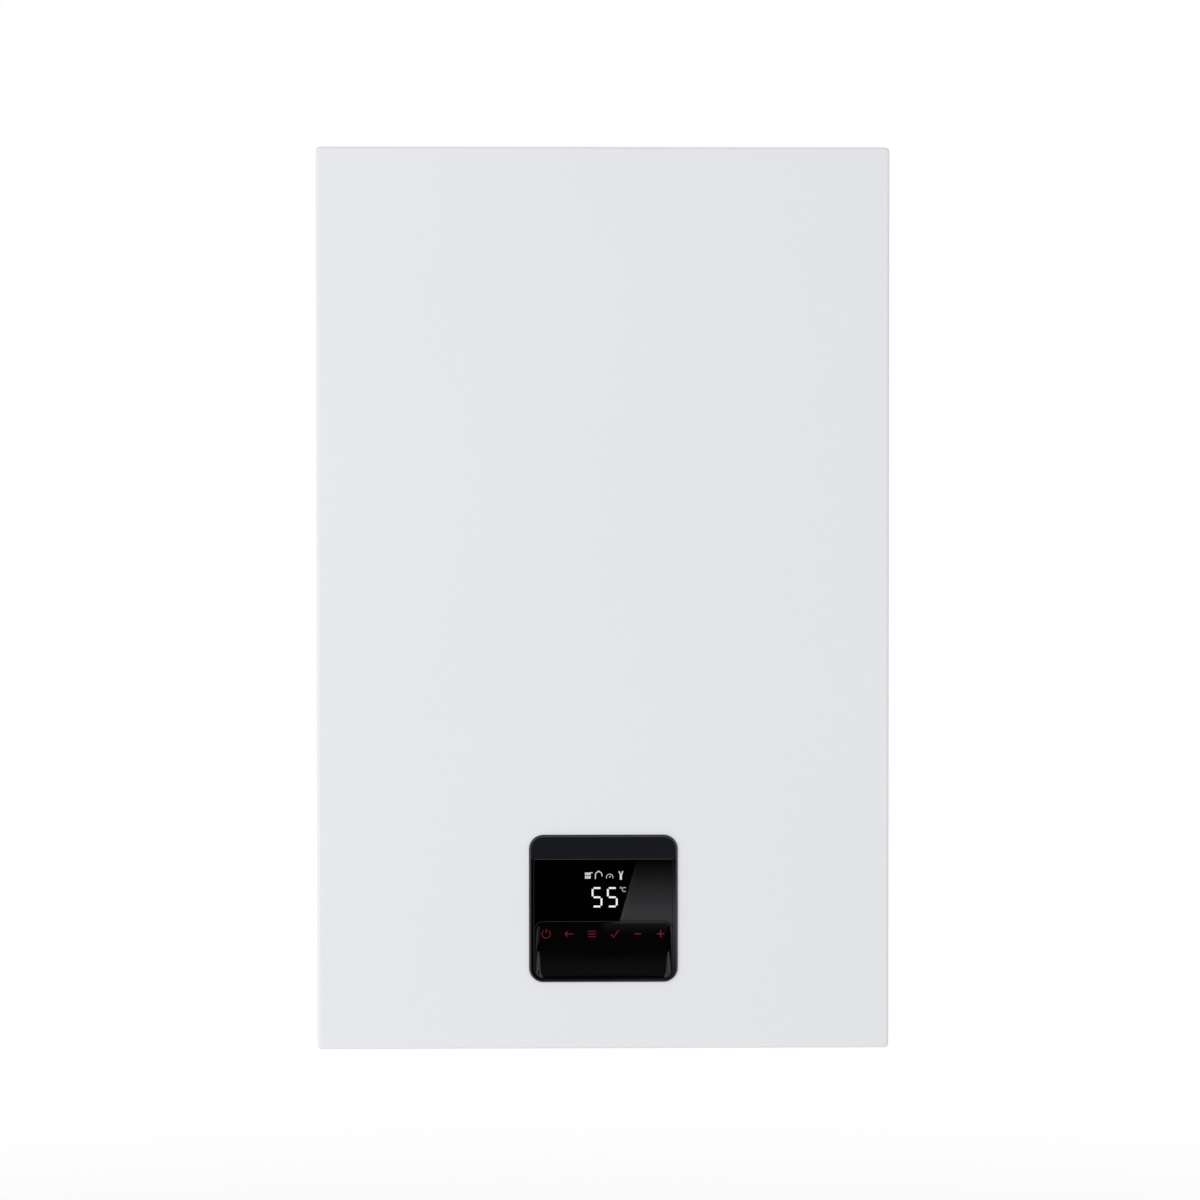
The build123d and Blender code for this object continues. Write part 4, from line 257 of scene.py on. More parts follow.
def finish(name, light, dark, roughness, grain, relief, patch=40.0, stretch=(1, 1, 1), **sockets):
    """Material in two close tones, with a range of roughness and a fine relief.

    The tones change over patches of a given size, the roughness and relief over the grain (all in mm).
    """
    material = blank_material(name)
    place = add_node(material, "ShaderNodeTexCoord")
    along = add_node(material, "ShaderNodeMapping", inputs={"Scale": stretch},
                     links={"Vector": place.outputs["Object"]})
    clouds = add_node(material, "ShaderNodeTexNoise", inputs={"Scale": 1 / (patch * MM), "Detail": 3.0},
                      links={"Vector": along.outputs[0]})
    grit = add_node(material, "ShaderNodeTexNoise", inputs={"Scale": 1 / (grain * MM), "Detail": 2.0},
                    links={"Vector": along.outputs[0]})
    tone = add_node(material, "ShaderNodeMix", data_type="RGBA", inputs={6: shaded(light), 7: shaded(dark)},
                    links={0: clouds.outputs[0]})
    gloss = add_node(material, "ShaderNodeMapRange",
                     inputs={"From Min": 0.3, "From Max": 0.7, "To Min": roughness[0],
                             "To Max": roughness[1]}, links={"Value": grit.outputs[0]})
    bump = add_node(material, "ShaderNodeBump", inputs={"Strength": 1.0, "Distance": relief * MM},
                    links={"Height": grit.outputs[0]})
    shader = add_node(material, "ShaderNodeBsdfPrincipled",
                      inputs={SOCKETS[key]: value for key, value in sockets.items()},
                      links={"Base Color": tone.outputs[2], "Roughness": gloss.outputs[0],
                             "Normal": bump.outputs[0]})
    return close_material(material, shader)


def galvanised_steel():
    """Hot-dip galvanised sheet: zinc crystals a few millimetres wide, each with its own tone and shine."""
    material = blank_material("galvanised_steel_sheet")
    place = add_node(material, "ShaderNodeTexCoord")
    wander = add_node(material, "ShaderNodeTexNoise",
                      inputs={"Scale": 1 / (ZINC_CRYSTAL * MM), "Detail": 2.0},
                      links={"Vector": place.outputs["Object"]})
    bent = add_node(material, "ShaderNodeVectorMath", operation="MULTIPLY_ADD",
                    inputs={1: metres([ZINC_RAGGEDNESS] * 3)},
                    links={0: wander.outputs["Color"], 2: place.outputs["Object"]})
    crystals = add_node(material, "ShaderNodeTexVoronoi", inputs={"Scale": 1 / (ZINC_CRYSTAL * MM)},
                        links={"Vector": bent.outputs[0]})
    each = add_node(material, "ShaderNodeSeparateColor", links={"Color": crystals.outputs["Color"]})
    tone = add_node(material, "ShaderNodeMix", data_type="RGBA",
                    inputs={6: linear("D3D6D8"), 7: linear("C6CACD")}, links={0: each.outputs[0]})
    gloss = add_node(material, "ShaderNodeMapRange", inputs={"To Min": 0.4, "To Max": 0.52},
                     links={"Value": each.outputs[1]})
    grit = add_node(material, "ShaderNodeTexNoise", inputs={"Scale": 1 / (ZINC_GRIT * MM), "Detail": 3.0},
                    links={"Vector": place.outputs["Object"]})
    bump = add_node(material, "ShaderNodeBump", inputs={"Strength": 0.4, "Distance": 0.02 * MM},
                    links={"Height": grit.outputs[0]})
    shader = add_node(material, "ShaderNodeBsdfPrincipled", inputs={"Metallic": 1.0},
                      links={"Base Color": tone.outputs[2], "Roughness": gloss.outputs[0],
                             "Normal": bump.outputs[0]})
    return close_material(material, shader)


def lit_symbol(name, colour, strength):
    """Backlit print behind the glossy front: it glows, and the front's own shine stays over it."""
    material = blank_material(name)
    place = add_node(material, "ShaderNodeTexCoord")
    clouds = add_node(material, "ShaderNodeTexNoise", inputs={"Scale": 1 / (3 * MM)},
                      links={"Vector": place.outputs["Object"]})
    glow = add_node(material, "ShaderNodeMapRange",
                    inputs={"To Min": 0.94 * strength, "To Max": 1.04 * strength},
                    links={"Value": clouds.outputs[0]})
    shader = add_node(material, "ShaderNodeBsdfPrincipled",
                      inputs={"Base Color": linear("000000"), "Roughness": 0.04, "IOR": 1.49,
                              "Emission Color": shaded(colour)},
                      links={"Emission Strength": glow.outputs[0]})
    return close_material(material, shader)


def make_finishes(colours):
    """All materials by the record's slot; each is named for what the real surface is, save one lighter black
    that is a painted highlight.
    """
    return {
        # Polyester powder coat, stoved on steel: satin, with a faint orange peel about two millimetres wide.
        "white_powder_coat": finish("powder_coat_white_satin", *tones(colours.coat, 0.985), (0.36, 0.42),
                                    2.0, 0.004, patch=160.0, ior=1.5),
        # Zinc coat on steel sheet: a patchwork of crystals, some brighter, some duller.
        "galvanised_sheet": galvanised_steel(),
        # Zinc-plated screws: bright, slightly blue, with fine turning marks.
        "steel_fastener": finish("zinc_plated_steel", "C9CED3", "B4B9BF", (0.22, 0.36), 0.6, 0.01,
                                 patch=8.0, metallic=1.0),
        # Drawn stainless steel: streaks that run along the drawing direction.
        "stainless": finish("stainless_steel_drawn", "CBCAC6", "B5B3AF", (0.2, 0.34), 0.5, 0.008,
                            patch=30.0, stretch=(1, 1, 6), metallic=1.0),
        # Die-cast aluminium: matt grey with a fine sandy skin from the die.
        "cast_aluminium": finish("aluminium_die_cast", "A9ABAD", "989A9D", (0.44, 0.58), 0.8, 0.02,
                                 patch=25.0, metallic=1.0),
        # Copper tube: drawn bright, with the brown bloom that handling and soldering leave.
        "copper_pipe": finish("copper_tube_drawn", "D8926B", "C58059", (0.33, 0.38), 2.4, 0.0005,
                              patch=45.0, metallic=1.0),
        # Turned brass: yellow, fairly bright, with fine machining marks.
        "brass": finish("brass_turned", "DFC38A", "CDAE70", (0.24, 0.38), 0.5, 0.01,
                        patch=12.0, metallic=1.0),
        # Baked red enamel on the pressed vessel: glossy, with a soft orange peel.
        "vessel_red": finish("enamel_red_baked", *tones(colours.vessel, 0.9), (0.26, 0.32), 4.0, 0.002,
                             patch=90.0, ior=1.5, coat_weight=0.3, coat_roughness=0.12),
        # Painted motor shell: black with a slight grain.
        "motor_black": finish("motor_paint_black", "2A2B2D", "202123", (0.38, 0.5), 0.9, 0.02, patch=30.0,
                              ior=1.5),
        # Moulded polyamide: dark, with the fine matt erosion texture of the mould.
        "black_plastic": finish("polyamide_moulded_black", "2B2C2E", "222325", (0.45, 0.58), 0.7, 0.03,
                                patch=35.0, ior=1.53),
        # Moulded ABS with a satin paint: black with a faint blue cast.
        "satin_black": finish("abs_satin_black", "1A1C21", "17191E", (0.03, 0.06), 0.8, 0.001, patch=20.0,
                              ior=1.53),
        # The same plastic, coloured lighter as a painted highlight along the step below the strip.
        "satin_painted_highlight": finish("abs_satin_painted_highlight", "34363B", "2E3034", (0.2, 0.28), 0.8, 0.001, patch=20.0,
                             ior=1.53),
        # Polished rim of the panel: black and glossy, so that it shows only what it mirrors.
        "gloss_rim": finish("abs_polished_black", "050506", "030304", (0.03, 0.06), 1.5, 0.0006, patch=15.0,
                            ior=1.53),
        # Piano-black acrylic: deep black under a clear, nearly flawless gloss.
        "gloss_black": finish("acrylic_gloss_black", "050505", "030303", (0.03, 0.05), 1.5, 0.0006,
                              patch=15.0, ior=1.49),
        # The same acrylic over the display: the deepest black, and a mirror for what stands before it.
        "window_black": finish("acrylic_window_black", "020202", "010101", (0.0, 0.015), 2.0, 0.0004,
                               patch=15.0, ior=1.49),
        # Glass-filled PPA: mid grey, flow marks and short fibres show as a light mottling.
        "grey_composite": finish("ppa_glass_filled_grey", "5C5F62", "4B4E51", (0.42, 0.56), 0.8, 0.03,
                                 patch=14.0, ior=1.55),
        # Moulded polypropylene: waxy white that lets a little light in.
        "white_plastic": finish("polypropylene_white", "E6E5DF", "DCDAD3", (0.34, 0.44), 1.2, 0.01,
                                patch=30.0, ior=1.49, subsurface_weight=0.05),
        # Closed-cell foam strip: matt grey with open cut cells under a millimetre wide.
        "grey_foam": finish("foam_strip_grey", "77797B", "5D5F61", (0.85, 0.98), 0.8, 0.25, patch=2.0),
        # EPDM rubber: black, matt, with a dry bloom.
        "black_rubber": finish("epdm_rubber_black", "262627", "1B1B1C", (0.6, 0.75), 0.9, 0.03, patch=18.0),
        # Ceramic fibre board: off-white, matted fibres, slightly browned in patches.
        "fibre_board": finish("ceramic_fibre_board", "EBE5D8", "D6CCB9", (0.9, 1.0), 0.9, 0.3, patch=20.0),
        # Glazed alumina: hard, white and glossy.
        "white_ceramic": finish("alumina_glazed", "EFEDE6", "E6E2D8", (0.12, 0.2), 2.0, 0.005, patch=10.0,
                                ior=1.6),
        # Solder mask over glass-fibre laminate: green, with darker tracks under the lacquer.
        "circuit_board": finish("solder_mask_green", "1F6B3F", "175231", (0.24, 0.36), 1.0, 0.02, patch=3.0,
                                ior=1.5),
        # Moulded acetal grips: strong colour, satin.
        "red_knob": finish("acetal_red", *tones(colours.relief_knob, 0.8), (0.32, 0.42), 0.9, 0.01,
                           patch=12.0, ior=1.48),
        "blue_knob": finish("acetal_blue", *tones(colours.filling_knob, 0.8), (0.32, 0.42), 0.9, 0.01,
                            patch=12.0, ior=1.48),
        # Lit segments of the digits: white, the brightest thing on the panel.
        "lit_white": lit_symbol("display_segment_lit", [*colours.digits, 1.0], 1.0),
        # Lit pictograms: a little greyer than the digits.
        "lit_sign": lit_symbol("display_pictogram_lit", "D4D7DA", 1.0),
        # Degree sign: dim grey, beside the bright digits.
        "lit_grey": lit_symbol("display_print_dim", "A2A5A9", 1.0),
        # Touch symbols: dark red, glowing faintly through the black.
        "lit_red": lit_symbol("touch_symbol_red", [*colours.touch_symbols, 1.0], 0.62),
    }


# ---------------------------------------------------------------------------------------------------------
# Modelling helpers
# ---------------------------------------------------------------------------------------------------------


def metres(values):
    """A point or size given in millimetres, in metres."""
    return tuple(value * MM for value in values)


def only(piece):
    """Select one piece alone and make it the active one."""
    bpy.ops.object.select_all(action="DESELECT")
    piece.select_set(True)
    bpy.context.view_layer.objects.active = piece


def block(name, low, high):
    """Block between two corners (mm), alone in the selection, with its place in its mesh."""
    low, high = Vector(low), Vector(high)
    bpy.ops.object.select_all(action="DESELECT")
    bpy.ops.mesh.primitive_cube_add(size=1, location=metres((low + high) / 2), scale=metres(high - low))
    return named(name)


def named(name):
    """Name the new object and put its place, turn and scale into its mesh."""
    piece = bpy.context.object
    piece.name = piece.data.name = name
    bpy.ops.object.transform_apply(location=True, rotation=True, scale=True)
    return piece


@contextmanager
def editing(piece):
    """Edit mode on one piece with nothing selected in it."""
    only(piece)
    bpy.ops.object.mode_set(mode="EDIT")
    bpy.ops.mesh.select_mode(type="VERT")
    bpy.ops.mesh.select_all(action="DESELECT")
    yield
    bpy.ops.object.mode_set(mode="OBJECT")


def middle(part):
    """Middle of a vertex, edge or face in millimetres."""
    points = [part.co] if isinstance(part, bmesh.types.BMVert) else [v.co for v in part.verts]
    return sum(points, Vector()) / len(points) / MM


def direction(edge):
    """Which way an edge runs, as a unit vector."""
    return (edge.verts[1].co - edge.verts[0].co).normalized()


def choose(piece, kind, test):
    """In edit mode, select the vertices, edges or faces that pass a test, and nothing else."""
    bpy.ops.mesh.select_mode(type=kind)
    bpy.ops.mesh.select_all(action="DESELECT")
    mesh = bmesh.from_edit_mesh(piece.data)
    for part in {"VERT": mesh.verts, "EDGE": mesh.edges, "FACE": mesh.faces}[kind]:
        if test(part):
            part.select_set(True)
    mesh.select_flush_mode()
    bmesh.update_edit_mesh(piece.data)


def slice_at(axis, places):
    """In edit mode, cut the whole piece across an axis at each place (mm) and keep both sides."""
    for place in places:
        point, normal = [0.0, 0.0, 0.0], [0.0, 0.0, 0.0]
        point[axis], normal[axis] = place * MM, 1.0
        bpy.ops.mesh.select_all(action="SELECT")
        bpy.ops.mesh.bisect(plane_co=point, plane_no=normal)
    bpy.ops.mesh.select_all(action="DESELECT")


def round_edges(width, segments):
    """In edit mode, round the selected edges to a radius (mm)."""
    bpy.ops.mesh.bevel(offset=width * MM, segments=segments, affect="EDGES", clamp_overlap=True)


def use_modifier(piece, kind, **settings):
    """Add a modifier and apply it."""
    only(piece)
    added = piece.modifiers.new(kind.title(), kind)
    for name, value in settings.items():
        setattr(added, name, value)
    bpy.ops.object.modifier_apply(modifier=added.name)


def press_in(piece, depth, weight):
    """Press a surface back along y by depth (mm) times a weight from 0 to 1 at each vertex's place (mm)."""
    group = piece.vertex_groups.new(name="pressed")
    for vertex in piece.data.vertices:
        amount = weight(vertex.co / MM)
        if amount > 0:
            group.add([vertex.index], amount, "REPLACE")
    use_modifier(piece, "DISPLACE", direction="Y", vertex_group="pressed", mid_level=0.0, strength=depth * MM)
    piece.vertex_groups.clear()


def shade(piece, angle=35):
    """Smooth shading that keeps the edges sharper than an angle in degrees."""
    only(piece)
    bpy.ops.object.shade_smooth_by_angle(angle=math.radians(angle))
    use_modifier(piece, "WEIGHTED_NORMAL", keep_sharp=True)


def settle(piece, body, slot, lit=None):
    """Give a finished piece its body and its material: the finish named by lit, or else the one of its slot.
    """
    piece.data.materials.clear()
    piece.data.materials.append(FINISHES[lit or slot])
    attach(piece, body)


def ease(value):
    """Smooth step from 0 to 1."""
    value = min(max(value, 0.0), 1.0)
    return value * value * (3 - 2 * value)


def join(name, pieces):
    """Join pieces into one object under a name."""
    bpy.ops.object.select_all(action="DESELECT")
    for piece in pieces:
        piece.select_set(True)
    bpy.context.view_layer.objects.active = pieces[0]
    bpy.ops.object.join()
    pieces[0].name = pieces[0].data.name = name
    return pieces[0]


def stroke(front, points, width, closed=False):
    """Flat line of one width through points (x, z in mm), standing just proud of a front plane."""
    curve = bpy.data.curves.new("line", "CURVE")
    curve.dimensions = "3D"
    curve.bevel_depth = width / 2 * MM
    curve.bevel_resolution = 2
    curve.use_fill_caps = not closed
    line = curve.splines.new("POLY")
    line.points.add(len(points) - 1)
    for point, (x, z) in zip(line.points, points):
        point.co = (x * MM, 0.0, z * MM, 1.0)
    line.use_cyclic_u = closed
    piece = bpy.data.objects.new("line", curve)
    bpy.context.collection.objects.link(piece)
    only(piece)
    bpy.ops.object.convert(target="MESH")
    piece.scale = (1.0, FINE * 2 / width, 1.0)
    piece.location = metres((PANEL_CENTRE.x, front, PANEL_CENTRE.z))
    return named("line")


def around(centre, radius, angles):
    """Places on a circle (mm) at angles in degrees, counted from the first axis towards the second."""
    turns = [math.radians(angle) for angle in angles]
    return [(centre[0] + radius * math.cos(t), centre[1] + radius * math.sin(t)) for t in turns]


def arc(centre, radius, start, end, steps=16):
    """Points along an arc, angles in degrees counted from +x towards +z."""
    return around(centre, radius, [start + (end - start) * i / steps for i in range(steps + 1)])


AIM = {"z": (0, 0), "-z": (180, 0), "y": (-90, 0), "-y": (90, 0), "x": (0, 90), "-x": (0, -90)}


def put(piece, place, aim="z", roll=0.0):
    """Turn a piece modelled at the origin on its own z, aim that axis, and move it to its place (mm)."""
    lean, swing = (math.radians(turn) for turn in AIM[aim])
    turn = Euler((lean, swing, 0.0)).to_matrix() @ Matrix.Rotation(math.radians(roll), 3, "Z")
    piece.rotation_euler = turn.to_euler()
    piece.location = metres(place)
    only(piece)
    bpy.ops.object.transform_apply(location=True, rotation=True, scale=True)
    return piece


def twin(piece, name):
    """Copy of a piece with its own mesh."""
    copy = piece.copy()
    copy.data = piece.data.copy()
    copy.name = copy.data.name = name
    bpy.context.collection.objects.link(copy)
    return copy


def repeat(name, piece, places, aim="z", rolls=None):
    """Copy a piece modelled at the origin to each place, each copy with its own mesh, as one object."""
    made = []
    for number, place in enumerate(places):
        made.append(put(twin(piece, "copy"), place, aim, rolls[number] if rolls else 0.0))
    bpy.data.objects.remove(piece)
    return join(name, made)


def turned(name, profile, steps=40, closed=True):
    """Turn a profile of (radius, height) points (mm) round z, as on a lathe."""
    bpy.ops.object.select_all(action="DESELECT")
    bpy.ops.mesh.primitive_plane_add(size=MM)
    piece = bpy.context.object
    with editing(piece):
        bpy.ops.mesh.select_all(action="SELECT")
        bpy.ops.mesh.merge(type="CENTER")
        here = (0.0, 0.0)
        for number, point in enumerate(profile):
            step = metres((point[0] - here[0], 0.0, point[1] - here[1]))
            if number:
                bpy.ops.mesh.extrude_vertices_move(TRANSFORM_OT_translate={"value": step})
            else:
                bpy.ops.transform.translate(value=step)
            here = point
        if closed:
            ends = [Vector((point[0], 0, point[1])) for point in (profile[0], profile[-1])]
            choose(piece, "VERT", lambda v: min((middle(v) - end).length for end in ends) < 1e-4)
            bpy.ops.mesh.edge_face_add()
        bpy.ops.mesh.select_all(action="SELECT")
        bpy.ops.mesh.spin(steps=steps, angle=2 * math.pi, center=(0, 0, 0), axis=(0, 0, 1))
        bpy.ops.mesh.select_all(action="SELECT")
        bpy.ops.mesh.remove_doubles(threshold=1e-6)
        bpy.ops.mesh.normals_make_consistent(inside=False)
    piece.name = piece.data.name = name
    shade(piece)
    return piece


def hexagon(name, radius, low, high, bore=0.0, edge=0.6):
    """Hexagon round z with chamfered corners, from its corner radius (mm), and a bore if it has one."""
    piece = cylinder(name, radius, low, high, 6)
    limit = [(0, low), (radius - edge, low), (radius + 0.01, low + edge), (radius + 0.01, high - edge),
             (radius - edge, high), (0, high)]
    carve(piece, turned("chamfer", limit, 48, False), "INTERSECT")
    if bore:
        carve(piece, cylinder("bore", bore, low - 1, high + 1))
    shade(piece)
    return piece


def cylinder(name, radius, low, high, segments=48):
    """Plain cylinder round z, as a cutter or to be shaped further."""
    bpy.ops.object.select_all(action="DESELECT")
    bpy.ops.mesh.primitive_cylinder_add(vertices=segments, radius=radius * MM, depth=(high - low) * MM,
                                        location=(0, 0, (low + high) / 2 * MM))
    return named(name)


def carve(piece, cutter, operation="DIFFERENCE"):
    """Cut a piece with another one, which is used up."""
    use_modifier(piece, "BOOLEAN", object=cutter, operation=operation, solver="EXACT")
    bpy.data.objects.remove(cutter)


def soft_block(name, low, high, edge, segments=3):
    """Moulded block with all its edges rounded."""
    piece = block(name, low, high)
    with editing(piece):
        bpy.ops.mesh.select_all(action="SELECT")
        round_edges(edge, segments)
    shade(piece)
    return piece


def soften(piece, width):
    """Break the sharp edges that a cut has left (mm)."""
    use_modifier(piece, "BEVEL", width=width * MM, segments=3, limit_method="ANGLE",
                 angle_limit=math.radians(60))


def screw(name, shank, length, head, height, drive="cross"):
    """Screw on z: its head's seat at zero, the head above and the shank below."""
    piece = turned(name, [(0, -length), (shank * 0.7, -length), (shank, -length + 0.3 * shank), (shank, 0),
                          (head, 0), (head, 0.3 * height), (0.88 * head, 0.72 * height),
                          (0.55 * head, height), (0, height)], 28, False)
    floor, arm, above = height - 0.45 * height, 0.58 * head, height + 1
    if drive == "cross":
        for roll in (0, 90):
            slot = block("slot", (-arm, -0.1 * head, floor), (arm, 0.1 * head, above))
            carve(piece, put(slot, (0, 0, 0), roll=roll))
    elif drive == "slot":
        carve(piece, block("slot", (-1.1 * head, -0.11 * head, floor), (1.1 * head, 0.11 * head, above)))
    else:
        carve(piece, cylinder("socket", 0.52 * head, floor, above, 6))
    shade(piece)
    return piece


def drive_screws(name, places, aim, size, drive="cross", rolls=None, body="casing"):
    """Like screws at their places; size holds the shank's radius and length, the head's radius and height."""
    made = repeat(name, screw("screw", *size, drive), places, aim, rolls)
    settle(made, body, "steel_fastener")
    return made


# ---------------------------------------------------------------------------------------------------------
# Pieces
# ---------------------------------------------------------------------------------------------------------


def rounded_plate(name, low, high, top_radius, bottom_radius, segments=12):
    """Plate between two corners whose upright corners are rounded, one radius at the top, one below."""
    piece = block(name, low, high)
    centre = (Vector(low) + Vector(high)) / 2
    with editing(piece):
        for radius, above in ((top_radius, True), (bottom_radius, False)):
            choose(piece, "EDGE", lambda e: abs(direction(e).y) > 0.9 and (middle(e).z > centre.z) == above
                   and abs(middle(e).x - centre.x) > (high[0] - low[0]) / 2 - 0.1)
            round_edges(radius, segments)
    return piece


def front_edges(piece, front):
    """In edit mode, select the edges that bound the foremost face."""
    choose(piece, "EDGE", lambda e: abs(middle(e).y - front) < 0.01 and len(e.link_faces) == 2
           and abs(e.link_faces[0].normal.dot(e.link_faces[1].normal)) < 0.5)


def build_bezel():
    """Frame of the control panel: glossy rim round window and keys, satin strip above, fine step between."""
    radius = sizes().panel_radius / MM
    bezel = rounded_plate("panel_bezel", BEZEL_LOW, BEZEL_HIGH, radius, radius, 16)
    with editing(bezel):
        front_edges(bezel, BEZEL_LOW.y)
        round_edges(sizes().panel_edge / MM, 8)
    low = (WINDOW_LOW.x - PANEL_GAP, BEZEL_LOW.y - 1, KEYS_LOW.z - PANEL_GAP)
    high = (WINDOW_HIGH.x + PANEL_GAP, BEZEL_HIGH.y + 1, WINDOW_HIGH.z + PANEL_GAP)
    carve(bezel, rounded_plate("opening", low, high, 0.8, KEY_BOTTOM_RADIUS))
    soften(bezel, 0.25)
    edge = BEZEL_HIGH.z - sizes().strip_height / MM
    strip = twin(bezel, "panel_strip")
    for piece, above in ((strip, False), (bezel, True)):
        with editing(piece):
            bpy.ops.mesh.select_all(action="SELECT")
            bpy.ops.mesh.bisect(plane_co=metres((0, 0, edge)), plane_no=(0, 0, 1), use_fill=True,
                                clear_outer=above, clear_inner=not above)
        shade(piece)
    settle(strip, "electronics_box", "satin_black")
    settle(bezel, "electronics_box", "satin_black", "gloss_rim")
    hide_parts("display_bezel")
    lip = block("panel_strip_lip", (WINDOW_LOW.x, WINDOW_LOW.y - LIP_DEPTH, edge - LIP_BELOW),
                (WINDOW_HIGH.x, WINDOW_LOW.y, edge + LIP_ABOVE))
    with editing(lip):
        choose(lip, "EDGE", lambda e: middle(e).y < WINDOW_LOW.y - 0.8 * LIP_DEPTH
               and abs(direction(e).x) > 0.9)
        round_edges(0.25, 3)
    shade(lip)
    # The lip is coloured lighter than the strip: a painted highlight along the step.
    settle(lip, "electronics_box", "satin_black", "satin_painted_highlight")


def build_window():
    """Glossy window over the display."""
    window = rounded_plate("panel_window", WINDOW_LOW, WINDOW_HIGH, 0.7, 0.7, 4)
    low = (KEYS_LOW.x - PANEL_GAP, WINDOW_LOW.y - 1, KEYS_LOW.z - PANEL_GAP)
    high = (KEYS_HIGH.x + PANEL_GAP, WINDOW_HIGH.y + 1, KEYS_HIGH.z + PANEL_GAP)
    carve(window, rounded_plate("keys_space", low, high, KEY_TOP_RADIUS + PANEL_GAP, KEY_BOTTOM_RADIUS))
    soften(window, 0.2)
    shade(window)
    settle(window, "electronics_box", "window_black")
    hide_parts("display_window")


def scoop_weight(place):
    """How far the finger scoop has reached its full depth at a place on the key module's front."""
    if place.y > KEYS_LOW.y + KEYS_SET_BACK + 0.2:
        return 0.0
    across = abs(place.x) / (KEYS_HIGH.x - SCOOP_SIDE)
    top = BEZEL_LOW.z + SCOOP_TOP - SCOOP_SAG * (1 - across ** 2)
    down = min(max((top - place.z) / (top - KEYS_LOW.z), 0.0), 1.0)
    corner = Vector((KEYS_HIGH.x - SCOOP_SIDE - SCOOP_CORNER, KEYS_LOW.z - SCOOP_FILLET + SCOOP_CORNER))
    beside = Vector((max(abs(place.x) - corner.x, 0.0), max(corner.y - place.z, 0.0))).length
    wall = ease((SCOOP_CORNER - beside) / SCOOP_WALL)
    lean = BAND_LEAN * (KEYS_HIGH.z - place.z) / (KEYS_HIGH.z - KEYS_LOW.z)
    return wall * (lean + (1 - BAND_LEAN) * down ** SCOOP_CURVE)


def build_keys():
    """Key module: flat band for the touch symbols above a smooth finger scoop."""
    front = Vector((0, KEYS_SET_BACK, 0))
    keys = rounded_plate("panel_key_module", KEYS_LOW + front, KEYS_HIGH, KEY_TOP_RADIUS, KEY_BOTTOM_RADIUS)
    with editing(keys):
        front_edges(keys, KEYS_LOW.y + KEYS_SET_BACK)
        round_edges(0.35, 3)
        side = [KEYS_HIGH.x - SCOOP_SIDE - step * SCOOP_WALL_CUTS for step in range(18)]
        slice_at(0, side + [-x for x in side] + [x * SCOOP_FLOOR_CUTS for x in range(-8, 9)])
        slice_at(2, [KEYS_LOW.z + 0.6 + step * SCOOP_ROW_CUTS for step in range(43)])
    press_in(keys, sizes().scoop_depth / MM, scoop_weight)
    shade(keys)
    settle(keys, "electronics_box", "gloss_black")
    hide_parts("key_panel")


def draw(name, lines, front, lit):
    """Lit sign of the panel, from lines that hold their points and width (mm) and whether they are closed."""
    made = [stroke(front, *line) for line in lines]
    settle(join(name, made), "electronics_box", "white_plastic", lit)


def figure_five(x):
    """Lines of the five lit segments of a 5 with its middle at x."""
    left, right, z = x - DIGIT_WIDTH / 2, x + DIGIT_WIDTH / 2, DIGIT_MIDDLE
    top, bottom = z + DIGIT_HEIGHT / 2, z - DIGIT_HEIGHT / 2
    ends = [((left + DIGIT_GAP, level), (right - DIGIT_GAP, level)) for level in (top, z, bottom)]
    ends += [((left, top - DIGIT_GAP), (left, z + DIGIT_GAP)),
             ((right, z - DIGIT_GAP), (right, bottom + DIGIT_GAP))]
    return [(pair, DIGIT_LINE) for pair in ends]


def build_display():
    """Two seven-segment digits, the degree sign and the four pictograms behind the window."""
    front = WINDOW_LOW.y - FINE
    draw("display_digits", [line for x in DIGIT_PLACES for line in figure_five(x)], front, "lit_white")
    degree = [(arc((12.2, 14.7), 0.55, 0, 337.5), 0.45, True), (arc((14.6, 13.4), 1.45, 45, 315), 0.65)]
    draw("display_degree_sign", degree, front, "lit_grey")
    radiator = [(((x, z - 0.95), (x, z + 0.95)), 1.15) for x in (-12.3, -10.9, -9.5) for z in (22.0, 24.4)]
    radiator.append((((-8.9, 25.2), (-7.6, 25.2)), 0.6))
    tap = [([(-5.6, 20.8), (-5.6, 23.6)] + arc((-3.3, 23.6), 2.3, 180, 20) + [(-1.0, 22.6)], 0.6),
           (((-3.3, 26.0), (-3.3, 26.6)), 0.9)]
    gauge = [(arc((4.4, 21.9), 2.3, 200, -20), 0.4), (((4.0, 21.8), (5.2, 22.9)), 0.5)]
    spanner = [(((12.2, 20.3), (12.2, 24.2)), 1.5)]
    spanner += [(((12.2 + side * 0.5, 24.0), (12.2 + side * 1.3, 26.2)), 0.8) for side in (-1, 1)]
    draw("display_pictograms", radiator + tap + gauge + spanner, front, "lit_sign")


def build_touch_symbols():
    """The six touch symbols along the key module's flat band: power, back, menu, accept, minus and plus."""
    front, z = KEYS_LOW.y + KEYS_SET_BACK - FINE, SYMBOL_ROW
    power = [(arc((-40, z), 2.9, 122, 418, 24), 0.45), (((-40, z + 0.8), (-40, z + 3.6)), 0.45)]
    back = [(((-26.9, z), (-20.9, z)), 0.55), (((-27.1, z - 0.2), (-24.9, z + 2.0)), 0.5),
            (((-27.1, z + 0.2), (-24.9, z - 2.0)), 0.5)]
    accept = [(((5.2, z - 0.3), (7.3, z - 2.5)), 0.5), (((6.9, z - 2.4), (10.9, z + 2.6)), 0.5)]
    minus = [(((21.8, z), (26.2, z)), 0.6)]
    plus = [(((37.5, z), (42.4, z)), 0.65), (((40.0, z - 2.4), (40.0, z + 2.4)), 0.65)]
    menu = [(((-10.8, z + row), (-5.2, z + row)), 0.45) for row in (-1.9, 0.0, 1.9)]
    draw("panel_touch_symbols", power + back + accept + minus + plus + menu, front, "lit_red")


def dress_nodes():
    """Give every node of the frame the material of its slot."""
    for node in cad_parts.values():
        for slot in node.material_slots:
            slot.material = FINISHES[slot.material.name]


